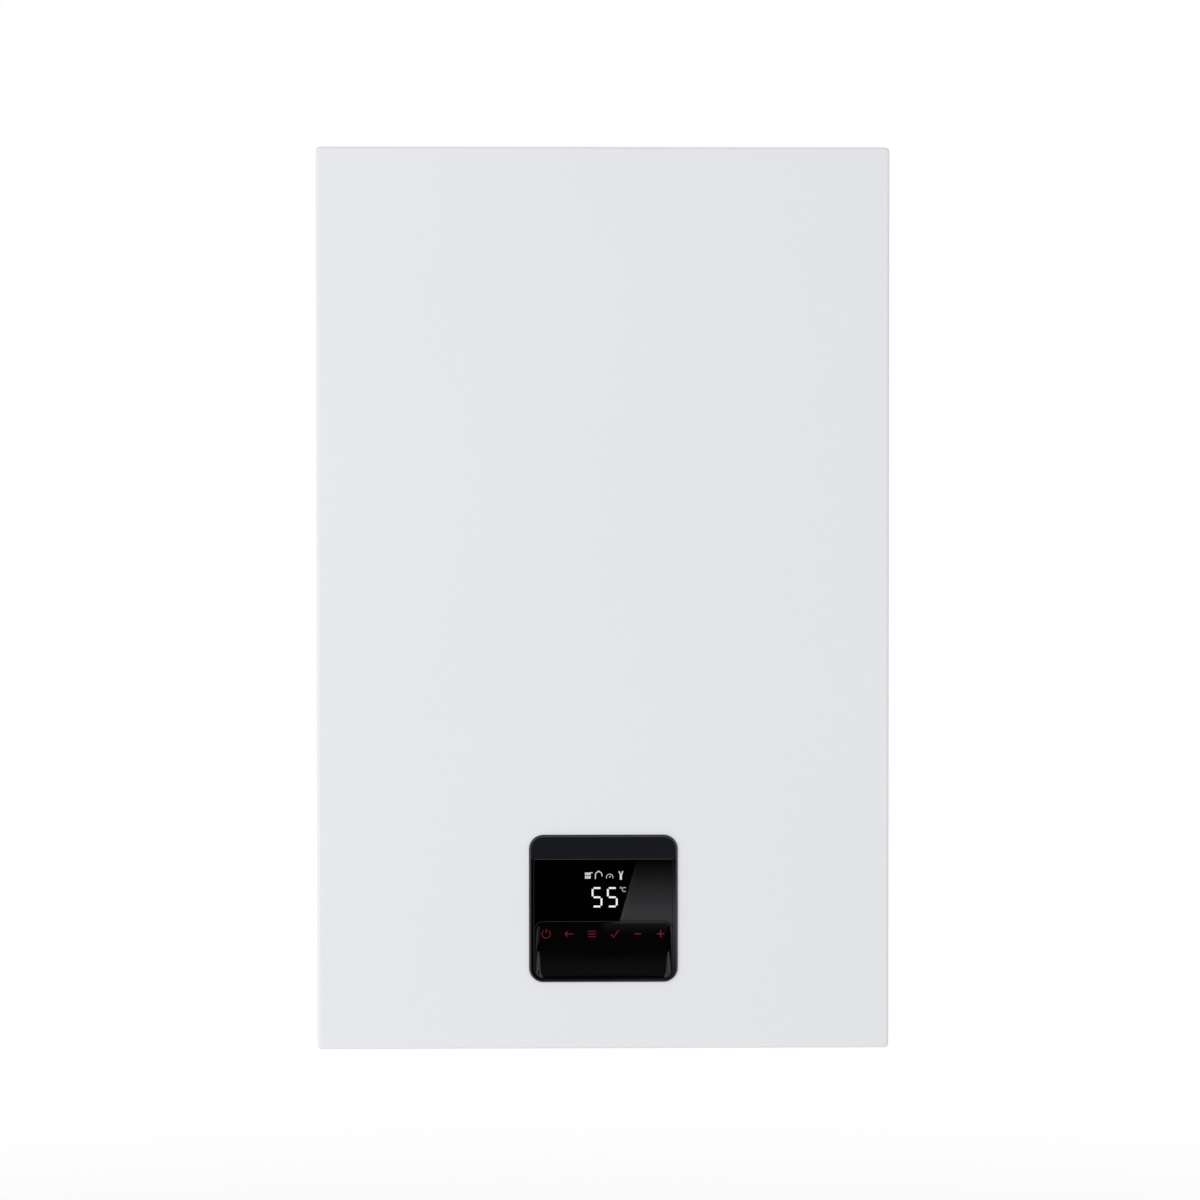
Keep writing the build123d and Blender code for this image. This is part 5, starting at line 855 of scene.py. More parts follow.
def build_casing_screws():
    """Cross-headed screws: two below that hold the cover, eight inside the rear flanges."""
    low, high = corners("cover_screws")
    places = [(side * (high.x - CASING_HEAD), (low.y + high.y) / 2, low.z + CASING_HEAD_HEIGHT)
              for side in (-1, 1)]
    made = drive_screws("cover_fixing_screws", places, "-z", (2.0, 8.0, CASING_HEAD, CASING_HEAD_HEIGHT),
                        rolls=[12, 70], body="cover")
    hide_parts("cover_screws")
    low, high = corners("casing_screws")
    step = (high.z - low.z - 2 * CASING_HEAD) / 3
    places = [(side * (high.x - CASING_HEAD), -2.5, low.z + CASING_HEAD + step * row)
              for side in (-1, 1) for row in range(4)]
    made = drive_screws("rear_flange_screws", places, "-y", (2.0, 2.5, CASING_HEAD, CASING_HEAD_HEIGHT),
                        rolls=[0, 25, 50, 75, 10, 35, 60, 85])
    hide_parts("casing_screws")


def build_rear_sheet():
    """Back sheet with coined stiffening lines, so that the large flat sheet doesn't drum."""
    sheet = twin(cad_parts["rear_frame"], "rear_sheet")
    with editing(sheet):
        bpy.ops.mesh.select_all(action="SELECT")
        bpy.ops.mesh.remove_doubles(threshold=1e-6)
    low, high = corners("rear_frame")
    half = sizes().bead_width / MM / 2
    for row in range(BEAD_COUNT):
        z = low.z + BEAD_FIRST + BEAD_STEP * row
        carve(sheet, soft_block("bead", (low.x + BEAD_INSET, -1.0, z - half),
                                (high.x - BEAD_INSET, 3, z + half), 0.9, 4))
    shade(sheet, 25)
    settle(sheet, "casing", "galvanised_sheet")
    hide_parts("rear_frame")


def build_cover_mat():
    """Foam mat glued inside the cover before the combustion chamber, with a pressed border."""
    low, high = corners("casing_seal")
    back = corners("front_cover")[0].y
    mat = soft_block("cover_insulation_mat", (low.x + 30, back + 1.1, low.z + 24),
                     (high.x - 30, back + 6.0, high.z - 24), 1.2)
    with editing(mat):
        choose(mat, "FACE", lambda f: f.normal.y > 0.99)
        bpy.ops.mesh.inset(thickness=7 * MM)
        bpy.ops.mesh.inset(thickness=2 * MM, depth=1.2 * MM)
    shade(mat)
    settle(mat, "cover", "grey_foam")


def build_flue_seals():
    """Black lip seals, one in the air socket and one in the duct's bell, and the screws of the flange."""
    x, y, _ = middle_of("flue_collar")
    top = corners("flue_collar")[1].z
    for name, radius in (("air_socket_seal", AIR_SOCKET), ("flue_bell_seal", FLUE_BELL)):
        wall, lip = radius - 1.4, radius - 2.6
        ring = turned(name, [(radius, -7), (radius, -17), (wall, -17), (wall, -15), (lip, -13.6), (wall, -13),
                             (wall, -11.2), (lip, -9.8), (wall, -9.2), (wall, -7)], 72)
        settle(put(ring, (x, y, top)), "casing", "black_rubber")
    heads = [(*spot, top - 3.0) for spot in around((x, y), FLANGE_SCREW_CIRCLE, range(30, 360, 60))]
    drive_screws("flue_flange_screws", heads, "-z", (2.0, 1.8, 3.6, 2.2))


def threaded_nipple(thread, height):
    """Pipe nipple round z, standing at zero: rolled thread below, chamfered hexagon, plain end above."""
    pitch = sizes().thread_pitch / MM
    root = thread - 0.64 * pitch
    inside = thread - NIPPLE_WALL
    profile = [(inside, 0.0), (root - 0.4, 0.0), (root, 0.4)]
    turns = int((NIPPLE_HEX_LOW - 3.0) / pitch)
    for turn in range(turns):
        start = 0.8 + turn * pitch
        profile += [(root, start), (thread, start + 0.42 * pitch), (thread, start + 0.58 * pitch)]
    profile += [(root, 0.8 + turns * pitch), (root, NIPPLE_HEX_LOW), (thread, NIPPLE_HEX_LOW),
                (thread, height), (inside, height)]
    hexed = hexagon("nipple_hexagon", thread + 5.0, NIPPLE_HEX_LOW, NIPPLE_HEX_HIGH, thread - 0.2, 1.0)
    return join("nipple", [turned("nipple_body", profile, 48), hexed])


def build_nipples():
    """Five brass nipples through the bottom sheet: three of three-quarter inch, two of half an inch."""
    low, high = corners("connection_nipples")
    reach, y = high.x - NIPPLE_EDGE, middle_of("connection_nipples")[1]
    made = []
    for number, roll in enumerate((0, 14, 30, 7, 22)):
        nipple = threaded_nipple(HALF_INCH if number % 2 else THREE_QUARTER_INCH, high.z - low.z)
        made.append(put(nipple, (-reach + number * reach / 2, y, low.z), roll=roll))
    made = join("pipe_nipples", made)
    settle(made, "casing", "brass")
    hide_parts("connection_nipples")


def build_coil():
    """Steel tube wound round the burner."""
    low, high = corners("heat_exchanger_coil")
    x, _, z = middle_of("heat_exchanger_coil")
    radius, steps = (high.x - low.x) / 2 - COIL_TUBE, int(36 * COIL_TURNS)
    bpy.ops.object.select_all(action="DESELECT")
    bpy.ops.mesh.primitive_circle_add(vertices=20, radius=COIL_TUBE * MM, location=(radius * MM, 0, 0))
    coil = named("wound_coil")
    use_modifier(coil, "SCREW", axis="Y", angle=2 * math.pi * COIL_TURNS,
                 screw_offset=-COIL_PITCH * COIL_TURNS * MM, steps=steps, render_steps=steps,
                 use_merge_vertices=False)
    with editing(coil):
        bpy.ops.mesh.select_all(action="SELECT")
        bpy.ops.mesh.normals_make_consistent(inside=False)
    use_modifier(coil, "SOLIDIFY", thickness=1.0 * MM, offset=-1.0)
    shade(coil)
    settle(put(coil, (x, high.y - COIL_TUBE * 1.02, z)), "casing", "stainless")
    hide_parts("heat_exchanger_coil")


def build_cell_door():
    """Cast ribs and rim of the burner door, its sight glass, bolts, ignition boot and channel screws."""
    x, z = middle_of("heat_exchanger_shell")[0], corners("door_insulation")[0].z + DOOR_INSULATION_RADIUS
    front = corners("door_bolts")[0].y + DOOR_BOLT_HEAD
    rib = block("rib", (46, -1.6, -0.5), (93, 1.6, 2.6))
    with editing(rib):
        choose(rib, "FACE", lambda f: f.normal.z > 0.9)
        bpy.ops.mesh.inset(thickness=0.9 * MM)
        bpy.ops.transform.translate(value=(0, 0, 0.9 * MM))
    ribs = repeat("door_ribs", rib, [(x, front, z)] * len(DOOR_RIB_ANGLES), "-y", DOOR_RIB_ANGLES)
    rim = turned("door_rim", [(98, -0.5), (104.5, -0.5), (104.5, 2.2), (103.5, 3.2), (100, 3.2), (98.6, 2.4)],
                 96)
    ribs = join("burner_door_ribs", [ribs, put(rim, (x, front, z), "-y")])
    shade(ribs)
    settle(ribs, "casing", "cast_aluminium")
    glass = (x - SIGHT_GLASS_OFFSET, front, z - SIGHT_GLASS_OFFSET)
    ring = turned("sight_glass_ring", [(5.5, 0), (10, 0), (10, 2.5), (9, 4), (6.5, 4), (5.5, 3)], 40)
    settle(put(ring, glass, "-y"), "casing", "steel_fastener")
    pane = turned("sight_glass_pane", [(0, 0), (5.5, 0), (5.5, 2.2), (5.1, 2.5), (0, 2.6)], 32, False)
    settle(put(pane, glass, "-y"), "casing", "window_black")
    washer = [(0, -14.0), (3, -14.0), (3, 0), (6.4, 0), (6.4, 0.4), (5, 0.9), (0, 0.9)]
    bolt = join("bolt", [hexagon("head", 5.0, 0.6, DOOR_BOLT_HEAD, edge=0.5),
                         turned("washer", washer, 32, False)])
    places = [(bolt_x, front, bolt_z)
              for bolt_x, bolt_z in around((x, z), DOOR_BOLT_CIRCLE, (60, 120, 240, 300))]
    bolts = repeat("door_flange_bolts", bolt, places, "-y", [5, 22, 40, 11])
    settle(bolts, "casing", "steel_fastener")
    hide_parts("door_bolts")
    boot_x, _, boot_z = middle_of("ignition_electrode")
    boot = turned("ignition_boot", [(5.05, 9), (7.4, 9), (7.8, 10), (7.8, 12), (7.0, 13), (7.0, 19),
                                    (6.0, 21), (3.6, 21.5), (3.6, 25), (0, 25), (0, 16.2), (5.05, 16.2)], 32)
    settle(put(boot, (boot_x, front, boot_z), "-y"), "casing", "black_rubber")
    channel = corners("burner_door")[0]
    heads = [(cx, channel.y, cz) for cx in (channel.x + 7, x + 30) for cz in (z - 13, z + 13)]
    drive_screws("mixture_channel_screws", heads, "-y", (2.0, 2.0, 4.0, 2.6), "socket")


def build_cell_bands():
    """Hoops moulded round the shell of the heat cell."""
    x, front = middle_of("heat_exchanger_shell")[0], corners("heat_exchanger_shell")[0].y
    z = middle_of("burner_tube")[2]
    hoop = turned("hoop", [(104.5, -2.2), (106.2, -2.2), (106.8, -1.6), (106.8, 1.6), (106.2, 2.2),
                           (104.5, 2.2)], 120)
    made = repeat("heat_cell_hoops", hoop, [(x, front + HOOP_STEP * row, z) for row in range(1, 5)], "-y")
    settle(made, "casing", "grey_composite")


def build_fan_details():
    """Clamped rim and lugs of the fan, and its motor's ribs, cap, screws and plug."""
    low, high = corners("fan_housing")
    x, y, seam = low.x + FAN_RADIUS, high.y - FAN_RADIUS, (low.z + high.z) / 2
    rim = turned("rim", [(59.5, seam - 2), (61.6, seam - 2), (61.6, seam - 0.3), (61.0, seam),
                         (61.6, seam + 0.3), (61.6, seam + 2), (59.5, seam + 2)], 96)
    rim = put(rim, (x, y, 0))
    lug = join("lug", [soft_block("ear", (57, -5, seam - 7), (67, 5, seam + 7), 1.5),
                       put(screw("screw", 1.9, 4, 3.4, 2.4, "socket"), (62.5, 0, seam + 7))])
    lugs = repeat("lugs", lug, [(x, y, 0)] * 4, "z", [100, 150, 200, 235])
    settle(join("fan_rim", [rim, lugs]), "casing", "cast_aluminium")
    low, high = corners("fan_motor")
    fin = soft_block("fin", (35.2, -0.9, low.z + 5), (37.4, 0.9, high.z - 8), 0.5, 2)
    fins = repeat("fins", fin, [(x, y, 0)] * MOTOR_FINS, "z", range(0, 360, 360 // MOTOR_FINS))
    top = high.z
    cap = turned("cap", [(0, top - 0.5), (26, top - 0.5), (26, top + 0.6), (25, top + 1.4), (12, top + 1.4),
                         (11, top + 0.8), (0, top + 0.8)], 48, False)
    settle(join("fan_motor_ribs", [fins, put(cap, (x, y, 0))]), "casing", "motor_black")
    heads = [(*spot, low.z + 3.0) for spot in around((x, y), 39.3, DIAGONALS)]
    drive_screws("fan_motor_screws", heads, "z", (1.8, 2.5, 2.6, 2.2), "socket")
    plug = build_plug("fan_motor_plug", 5)
    settle(put(plug, (x + 6, y - 38.0, top - 18), "-y"), "casing", "white_plastic")


def build_plug(name, ways):
    """Cable plug modelled on z: housing with a latch and one window for each contact."""
    width = CONTACT_PITCH * ways + 3.0
    body = soft_block(name, (-width / 2, -5, -2), (width / 2, 5, 11), 0.8, 2)
    for way in range(ways):
        x = (way - (ways - 1) / 2) * CONTACT_PITCH
        carve(body, block("window", (x - 1.2, -6, 3), (x + 1.2, -4.2, 8)))
    made = join(name, [body, soft_block("latch", (-3, 5, 1), (3, 6.6, 9), 0.6, 2)])
    shade(made)
    return made


def build_gas_details():
    """Test nipples, pressure regulator cap, flange screws, coil covers and union nut of the gas valve."""
    low, high = corners("gas_valve_body")
    coil_low, coil_high = corners("gas_valve_coils")
    x, y, _ = middle_of("gas_valve_body")
    bottom = low.z + 10.0
    nipple = turned("nipple", [(0, -0.5), (5, -0.5), (5, 2), (3.6, 3), (3.6, 5), (4.4, 6), (3.4, 10),
                               (1.6, 10), (1.6, 8.5), (0, 8.5)], 32, False)
    places = [(x + side * 10, low.y, bottom + 8) for side in (1, -1)]
    settle(repeat("gas_test_nipples", nipple, places, "-y"), "casing", "brass")
    cap = turned("gas_regulator_cap", [(0, -1), (14, -1), (14, 3), (12, 4), (12, 13), (11, 15), (4, 15),
                                       (4, 13.5), (0, 13.5)], 40, False)
    settle(put(cap, (high.x, y, bottom + 31), "x"), "casing", "cast_aluminium")
    heads = [(sx, low.y, sz) for sx in (low.x + 6, high.x - 6) for sz in (bottom + 6, bottom + 56)]
    drive_screws("gas_valve_screws", heads, "-y", (2.2, 2, 4.2, 3.0), "socket")
    coils = [x + side * GAS_COIL_OFFSET for side in (-1, 1)]
    band = [(12.9, 2), (14.2, 2), (14.2, 4), (13.4, 4.6), (13.4, 19.4), (14.2, 20), (14.2, 22), (12.9, 22)]
    covers = [put(turned("band", band, 48), (coil, coil_high.y, (coil_low.z + coil_high.z) / 2), "-y")
              for coil in coils]
    covers += [soft_block("shoulder", (coil - 9, coil_low.y + 4, coil_high.z - 3),
                          (coil + 9, coil_high.y - 3, coil_high.z + 7), 1.2) for coil in coils]
    settle(join("gas_coil_covers", covers), "casing", "motor_black")
    nut = hexagon("gas_union_nut", 15.5, low.z - 8, low.z + 5, 9.0, 1.2)
    settle(put(nut, (x, y, 0)), "casing", "brass")


def clamp(radius):
    """Worm-drive hose clamp round z: band, screw housing and screw."""
    band = turned("band", [(radius, -4), (radius + 0.8, -4), (radius + 1.1, -3.4), (radius + 0.8, -2.8),
                           (radius + 0.8, 2.8), (radius + 1.1, 3.4), (radius + 0.8, 4), (radius, 4)], 40)
    box = soft_block("housing", (radius + 0.2, -5, -3.6), (radius + 4.6, 5, 3.6), 0.9, 2)
    worm = put(screw("worm", 1.6, 6.0, 2.9, 2.0, "slot"), (radius + 2.6, -5.0, 0), "-y")
    return join("clamp", [band, box, worm])


def build_hose_clamps():
    """Hose clamps at both ends of the condensate hose and the expansion hose."""
    shell_x, _, _ = middle_of("heat_exchanger_shell")
    shell_low, shell_high = corners("heat_exchanger_shell")
    trap_x, trap_y, _ = middle_of("condensate_trap")
    low, high = corners("expansion_hose")
    slim = VESSEL_HOSE
    ends = [((shell_x, shell_high.y - 18.0, shell_low.z - 7), 200, DRAIN_HOSE),
            ((trap_x, trap_y, corners("condensate_trap")[1].z + 7), 250, DRAIN_HOSE),
            ((low.x + slim, high.y - slim, high.z - 7), 230, slim),
            ((high.x - slim, low.y + slim, low.z + 7), 280, slim)]
    made = [put(clamp(radius + 0.05), place, roll=roll) for place, roll, radius in ends]
    settle(join("hose_clamps", made), "casing", "stainless")


def clip_ring(radius):
    """Spring clip round z that locks a pipe joint, with two handling ears."""
    ring = turned("ring", [(radius, -1.2), (radius + 1.2, -1.2), (radius + 1.6, -0.6), (radius + 1.6, 0.6),
                           (radius + 1.2, 1.2), (radius, 1.2)], 40)
    ears = [soft_block("ear", (radius - 0.5, y - 1.1, -1.2), (radius + 5.5, y + 1.1, 1.2), 0.5, 2)
            for y in (-3, 3)]
    return join("clip", [ring] + ears)


def build_joint_clips():
    """Spring clips on the pipe joints of the heat cell, the diverter and the pump, and two pipe sensors."""
    flow_low, flow_high = corners("flow_pipe")
    back_low, back_high = corners("return_pipe")
    back = tuple(middle_of("return_pipe")[:2])
    up = (flow_high.x - PIPE_RADIUS, middle_of("flow_pipe")[1])
    joints = [((*back, back_low.z - 4), "z", -100), ((*back, back_high.z + 4), "z", -60),
              ((*up, flow_high.z + 4), "z", -110),
              ((flow_low.x - 4, up[1], flow_low.z + PIPE_RADIUS), "x", 160)]
    made = [put(clip_ring(JOINT_RADIUS), place, aim, roll) for place, aim, roll in joints]
    settle(join("pipe_joint_clips", made), "casing", "stainless")
    sensors = []
    for place in ((*up, flow_high.z - 40), (*back, back_high.z - 40)):
        ring = turned("ring", [(9.05, -5), (9.9, -5), (9.9, 5), (9.05, 5)], 32)
        head = soft_block("head", (9.0, -4.5, -6), (16, 4.5, 6), 1.0, 2)
        sensors.append(put(join("sensor", [ring, head]), place, roll=-90))
    settle(join("pipe_temperature_sensors", sensors), "casing", "black_plastic")


def build_pump_details():
    """Front ring, control module, plug, vent screw and flange screws of the pump; nut and cap of the vent."""
    low, high = corners("pump_motor")
    x, y, z = middle_of("pump_motor")
    ring = turned("pump_motor_ring", [(24, -0.5), (29, -0.5), (29, 0.8), (28, 1.4), (25, 1.4), (24, 0.8)], 64)
    spokes = [put(soft_block("spoke", (12, -1.2, -0.5), (25, 1.2, 0.9), 0.5, 2), (0, 0, 0), roll=roll)
              for roll in range(0, 360, 45)]
    face = put(join("pump_motor_face", [ring] + spokes), (x, low.y, z), "-y")
    module = soft_block("module", (x - 22, low.y + 4, high.z - 4), (x + 22, high.y - 4, high.z + 16), 3.0, 4)
    lid = soft_block("lid", (x - 19, low.y + 3.2, high.z), (x + 19, low.y + 5, high.z + 13), 0.7, 2)
    settle(join("pump_control_module", [face, module, lid]), "casing", "motor_black")
    settle(put(build_plug("pump_plug", 3), (x + 12, y + 2, high.z + 16)), "casing", "white_plastic")
    vent = screw("pump_vent_screw", 4.0, 1.0, 8.5, 3.2, "slot")
    settle(put(vent, (x, low.y, z), "-y", 20), "casing", "brass")
    heads = [(head_x, high.y, head_z) for head_x, head_z in around((x, z), 41, DIAGONALS)]
    drive_screws("pump_flange_screws", heads, "-y", (1.9, 2, 2.8, 3.0), "socket")
    x, y, _ = middle_of("air_vent_body")
    top = corners("air_vent_body")[1].z
    nut = hexagon("air_vent_nut", 9.0, top - 0.5, top + 3.5)
    settle(put(nut, (x, y, 0)), "casing", "brass")
    cap = turned("air_vent_cap", [(0, 3.5), (5.2, 3.5), (5.4, 4.5), (5.4, 9), (4.6, 10.2), (0, 10.4)], 18,
                 False)
    settle(put(cap, (x, y, top)), "casing", "black_plastic")


def build_diverter_details():
    """Cap, seam, screws and plug of the diverter's motor head, and the sensors in the water manifolds."""
    low, high = corners("diverter_actuator")
    x, y, _ = middle_of("diverter_actuator")
    cap = soft_block("cap", (low.x + 2, low.y + 2, high.z - 1), (high.x - 2, high.y - 2, high.z + 1.6), 1.2)
    gear = turned("gear_dome", [(0, 1), (11, 1), (11, 4), (9.5, 5.4), (0, 5.6)], 40, False)
    seam = soft_block("seam", (low.x - 0.6, low.y - 0.6, low.z + 14),
                      (high.x + 0.6, high.y + 0.6, low.z + 17), 0.5, 2)
    carve(seam, block("inside", (low.x + 0.4, low.y + 0.4, low.z), (high.x - 0.4, high.y - 0.4, high.z)))
    made = join("diverter_head_cap", [cap, put(gear, (x + 6, y, high.z)), seam])
    settle(made, "casing", "black_plastic")
    heads = [(sx, sy, high.z + 1.6) for sx in (low.x + 7, high.x - 7) for sy in (low.y + 7, high.y - 7)]
    drive_screws("diverter_head_screws", heads, "z", (1.5, 2, 2.4, 1.4))
    plug = put(build_plug("diverter_plug", 3), (x, low.y, low.z + 28), "-y")
    settle(plug, "casing", "white_plastic")
    sensor = join("sensor", [hexagon("hex", 8.5, 0, 6, edge=0.8),
                             turned("stem", [(0, 6), (5.5, 6), (5.5, 16), (4.6, 17), (0, 17)], 32, False)])
    foot = corners("flow_manifold")[0].z
    places = [(x, y - WIDE_TUBE + 0.5, foot + 62),
              (corners("cold_inlet_manifold")[0].x + SLIM_TUBE, y - SLIM_TUBE + 0.5, foot + 40)]
    settle(repeat("water_sensors", sensor, places, "-y", [10, 25]), "casing", "brass")


def build_manifold_details():
    """Caps, moulded collars and lock clips of the upright tubes that stand on the pipe nipples."""
    foot = corners("connection_nipples")[1].z
    reach, y = corners("connection_nipples")[1].x - NIPPLE_EDGE, middle_of("connection_nipples")[1]
    tubes = ((-reach, WIDE_TUBE, False), (-reach / 2, SLIM_TUBE, True), (reach / 2, SLIM_TUBE, True),
             (reach, WIDE_TUBE, False))
    collars, clips = [], []
    for number, (x, radius, capped) in enumerate(tubes):
        ring = [(radius - 0.5, 0.5), (radius + 1.8, 0.5), (radius + 2.2, 0.9), (radius + 2.2, 4.6),
                (radius + 1.6, 5.2), (radius - 0.5, 5.2)]
        collars += [put(turned("collar", ring, 56), (x, y, foot + rise)) for rise in (0, COLLAR_GAP)]
        for roll in range(0, 360, 45):
            web = soft_block("web", (radius - 0.5, -0.8, 5), (radius + 1.6, 0.8, COLLAR_GAP + 0.6), 0.4, 2)
            collars.append(put(web, (x, y, foot), roll=roll))
        if capped:
            cap = turned("cap", [(0, -0.3), (radius + 0.9, -0.3), (radius + 0.9, 2.2), (radius + 0.1, 3.0),
                                 (7.0, 3.0), (6.4, 2.4), (0, 2.4)], 48, False)
            carve(cap, cylinder("socket", 4.0, 1.0, 5.0, 6))
            shade(cap)
            collars.append(put(cap, (x, y, corners("cold_inlet_manifold")[1].z)))
        clips.append(put(clip_ring(radius - 2.4), (x, y, foot - 4), roll=-90 + 12 * number))
    settle(join("manifold_collars", collars), "casing", "grey_composite")
    settle(join("nipple_lock_clips", clips), "casing", "stainless")


def build_vessel_details():
    """Rolled seam and charging valve of the expansion vessel."""
    low, high = corners("expansion_vessel")
    x, seam, _ = middle_of("expansion_vessel")
    radius = (high.x - low.x) / 2
    z = high.z - radius
    ring = turned("expansion_vessel_seam", [(radius - 1, -4.5), (radius + 1.2, -4), (radius + 2.2, -2.6),
                                            (radius + 2.2, 2.6), (radius + 1.2, 4), (radius - 1, 4.5)], 144)
    settle(put(ring, (x, seam, z), "-y"), "casing", "vessel_red")
    valve = turned("charging_valve", [(0, -1), (6, -1), (6, 1), (4.2, 1.6), (4.2, 3.4), (5.2, 3.6),
                                      (5.2, 8.6), (4.4, 9.4), (0, 9.6)], 24, False)
    settle(put(valve, (x - 105, low.y, z + 40), "-y"), "casing", "black_plastic")


def build_exchanger_details():
    """End plate of the plate exchanger, with a round opening at each port."""
    low, high = corners("plate_heat_exchanger")
    plate = soft_block("plate_exchanger_end_plate", (low.x + 3, low.y - 1.8, low.z + 3),
                       (high.x - 3, low.y + 0.2, high.z - 3), 0.8)
    ports = [(x, low.y, z) for x in (low.x + PORT_INSET, high.x - PORT_INSET)
             for z in (low.z + PORT_INSET, high.z - PORT_INSET)]
    for port in ports:
        carve(plate, put(cylinder("hole", 13.5, -5, 5), port, "y"))
    shade(plate)
    settle(plate, "casing", "stainless")


def build_electronics():
    """Ribs and screws on the electronics box's lid, ribs and latches on its front."""
    low, high = corners("electronics_lid")
    back = high.y + 1.2
    ribs = [soft_block("rib", (x - 1, high.y - 0.3, low.z + 10), (x + 1, back, high.z - 10), 0.4, 2)
            for x in range(int(low.x) + 25, int(high.x) - 10, 20)]
    ribs += [soft_block("rib", (low.x + 8, high.y - 0.3, z - 1), (high.x - 8, back, z + 1), 0.4, 2)
             for z in (low.z + 9, high.z - 9)]
    settle(join("box_lid_ribs", ribs), "electronics_box", "black_plastic")
    heads = [(x, high.y, z) for x in (low.x + 5, (low.x + high.x) / 2, high.x - 5)
             for z in (low.z + 5, high.z - 5)]
    drive_screws("box_lid_screws", heads, "y", (1.7, 1.8, 3.2, 2.0), rolls=[5, 30, 60, 15, 45, 80],
                 body="electronics_box")
    low, high = corners("electronics_tray")
    places = [side * (high.x - 18 - 16 * row) for side in (-1, 1) for row in range(6)]
    made = [soft_block("rib", (x - 0.9, low.y - 1.2, low.z + 12), (x + 0.9, low.y + 0.3, high.z - 12), 0.4, 2)
            for x in places]
    made += [soft_block("latch", (x - 9, low.y + 4, high.z - 3), (x + 9, low.y + 22, high.z + 2), 1.0)
             for x in (-120, 120)]
    settle(join("box_front_ribs", made), "electronics_box", "black_plastic")


# ---------------------------------------------------------------------------------------------------------
# Stage
# ---------------------------------------------------------------------------------------------------------


def make_world():
    """White surroundings: full strength to the eye and in reflections, softer on matt surfaces."""
    world = bpy.data.worlds.new("studio")
    bpy.context.scene.world = world
    world.use_nodes = True
    world.node_tree.nodes.clear()
    path = add_node(world, "ShaderNodeLightPath")
    seen = add_node(world, "ShaderNodeMath", operation="ADD", use_clamp=True,
                    links={0: path.outputs["Is Camera Ray"], 1: path.outputs["Is Glossy Ray"]})
    seen = add_node(world, "ShaderNodeMath", operation="ADD", use_clamp=True,
                    links={0: seen.outputs[0], 1: path.outputs["Is Transmission Ray"]})
    level = add_node(world, "ShaderNodeMapRange", inputs={"To Min": WORLD_LEVEL, "To Max": 1.0},
                     links={"Value": seen.outputs[0]})
    sky = add_node(world, "ShaderNodeBackground", inputs={"Color": (1, 1, 1, 1)},
                   links={"Strength": level.outputs[0]})
    add_node(world, "ShaderNodeOutputWorld", links={"Surface": sky.outputs[0]})


def make_lamp(name, place, power):
    """Soft area lamp at a place (m), turned to the middle of the boiler."""
    lamp = bpy.data.lights.new(name, "AREA")
    lamp.shape, lamp.size, lamp.energy = "SQUARE", LAMP_SIZE, power
    made = bpy.data.objects.new(name, lamp)
    made.location = place
    made.rotation_euler = (Vector(LAMP_AIM) - Vector(place)).to_track_quat("-Z", "Y").to_euler()
    bpy.context.collection.objects.link(made)
    made.visible_glossy = False


def make_floor():
    """Pale floor below the hanging object; from below it lets the view through."""
    bpy.ops.object.select_all(action="DESELECT")
    bpy.ops.mesh.primitive_plane_add(size=2 * FLOOR_REACH, location=FLOOR_MIDDLE)
    floor = named("studio_floor")
    material = blank_material("studio_floor_paint")
    side = add_node(material, "ShaderNodeNewGeometry")
    place = add_node(material, "ShaderNodeTexCoord")
    away = add_node(material, "ShaderNodeVectorMath", operation="DISTANCE", inputs={1: FLOOR_MIDDLE},
                    links={0: place.outputs["Object"]})
    rim = add_node(material, "ShaderNodeMapRange", interpolation_type="SMOOTHSTEP",
                   inputs={"From Min": 0.25 * FLOOR_REACH, "From Max": FLOOR_REACH},
                   links={"Value": away.outputs["Value"]})
    hidden = add_node(material, "ShaderNodeMath", operation="MAXIMUM",
                      links={0: side.outputs["Backfacing"], 1: rim.outputs[0]})
    matt = add_node(material, "ShaderNodeBsdfDiffuse", inputs={"Color": linear("FAFAFA")})
    path = add_node(material, "ShaderNodeLightPath")
    glow = add_node(material, "ShaderNodeEmission", links={"Color": path.outputs["Is Camera Ray"]},
                    inputs={"Strength": FLOOR_GLOW})
    paint = add_node(material, "ShaderNodeAddShader", links={0: matt.outputs[0], 1: glow.outputs[0]})
    clear = add_node(material, "ShaderNodeBsdfTransparent")
    both = add_node(material, "ShaderNodeMixShader",
                    links={0: hidden.outputs[0], 1: paint.outputs[0], 2: clear.outputs[0]})
    floor.data.materials.append(close_material(material, both))


def card_point(x, z):
    """Where the camera's mirror ray from a point of the panel (mm from its middle) meets the card (m)."""
    eye = Vector(CAMERA_PLACE)
    point = Vector(metres((PANEL_CENTRE.x + x, WINDOW_LOW.y, PANEL_CENTRE.z + z)))
    share = CARD_GAP / (point.y - eye.y)
    return point.x + (point.x - eye.x) * share, point.z + (point.z - eye.z) * share


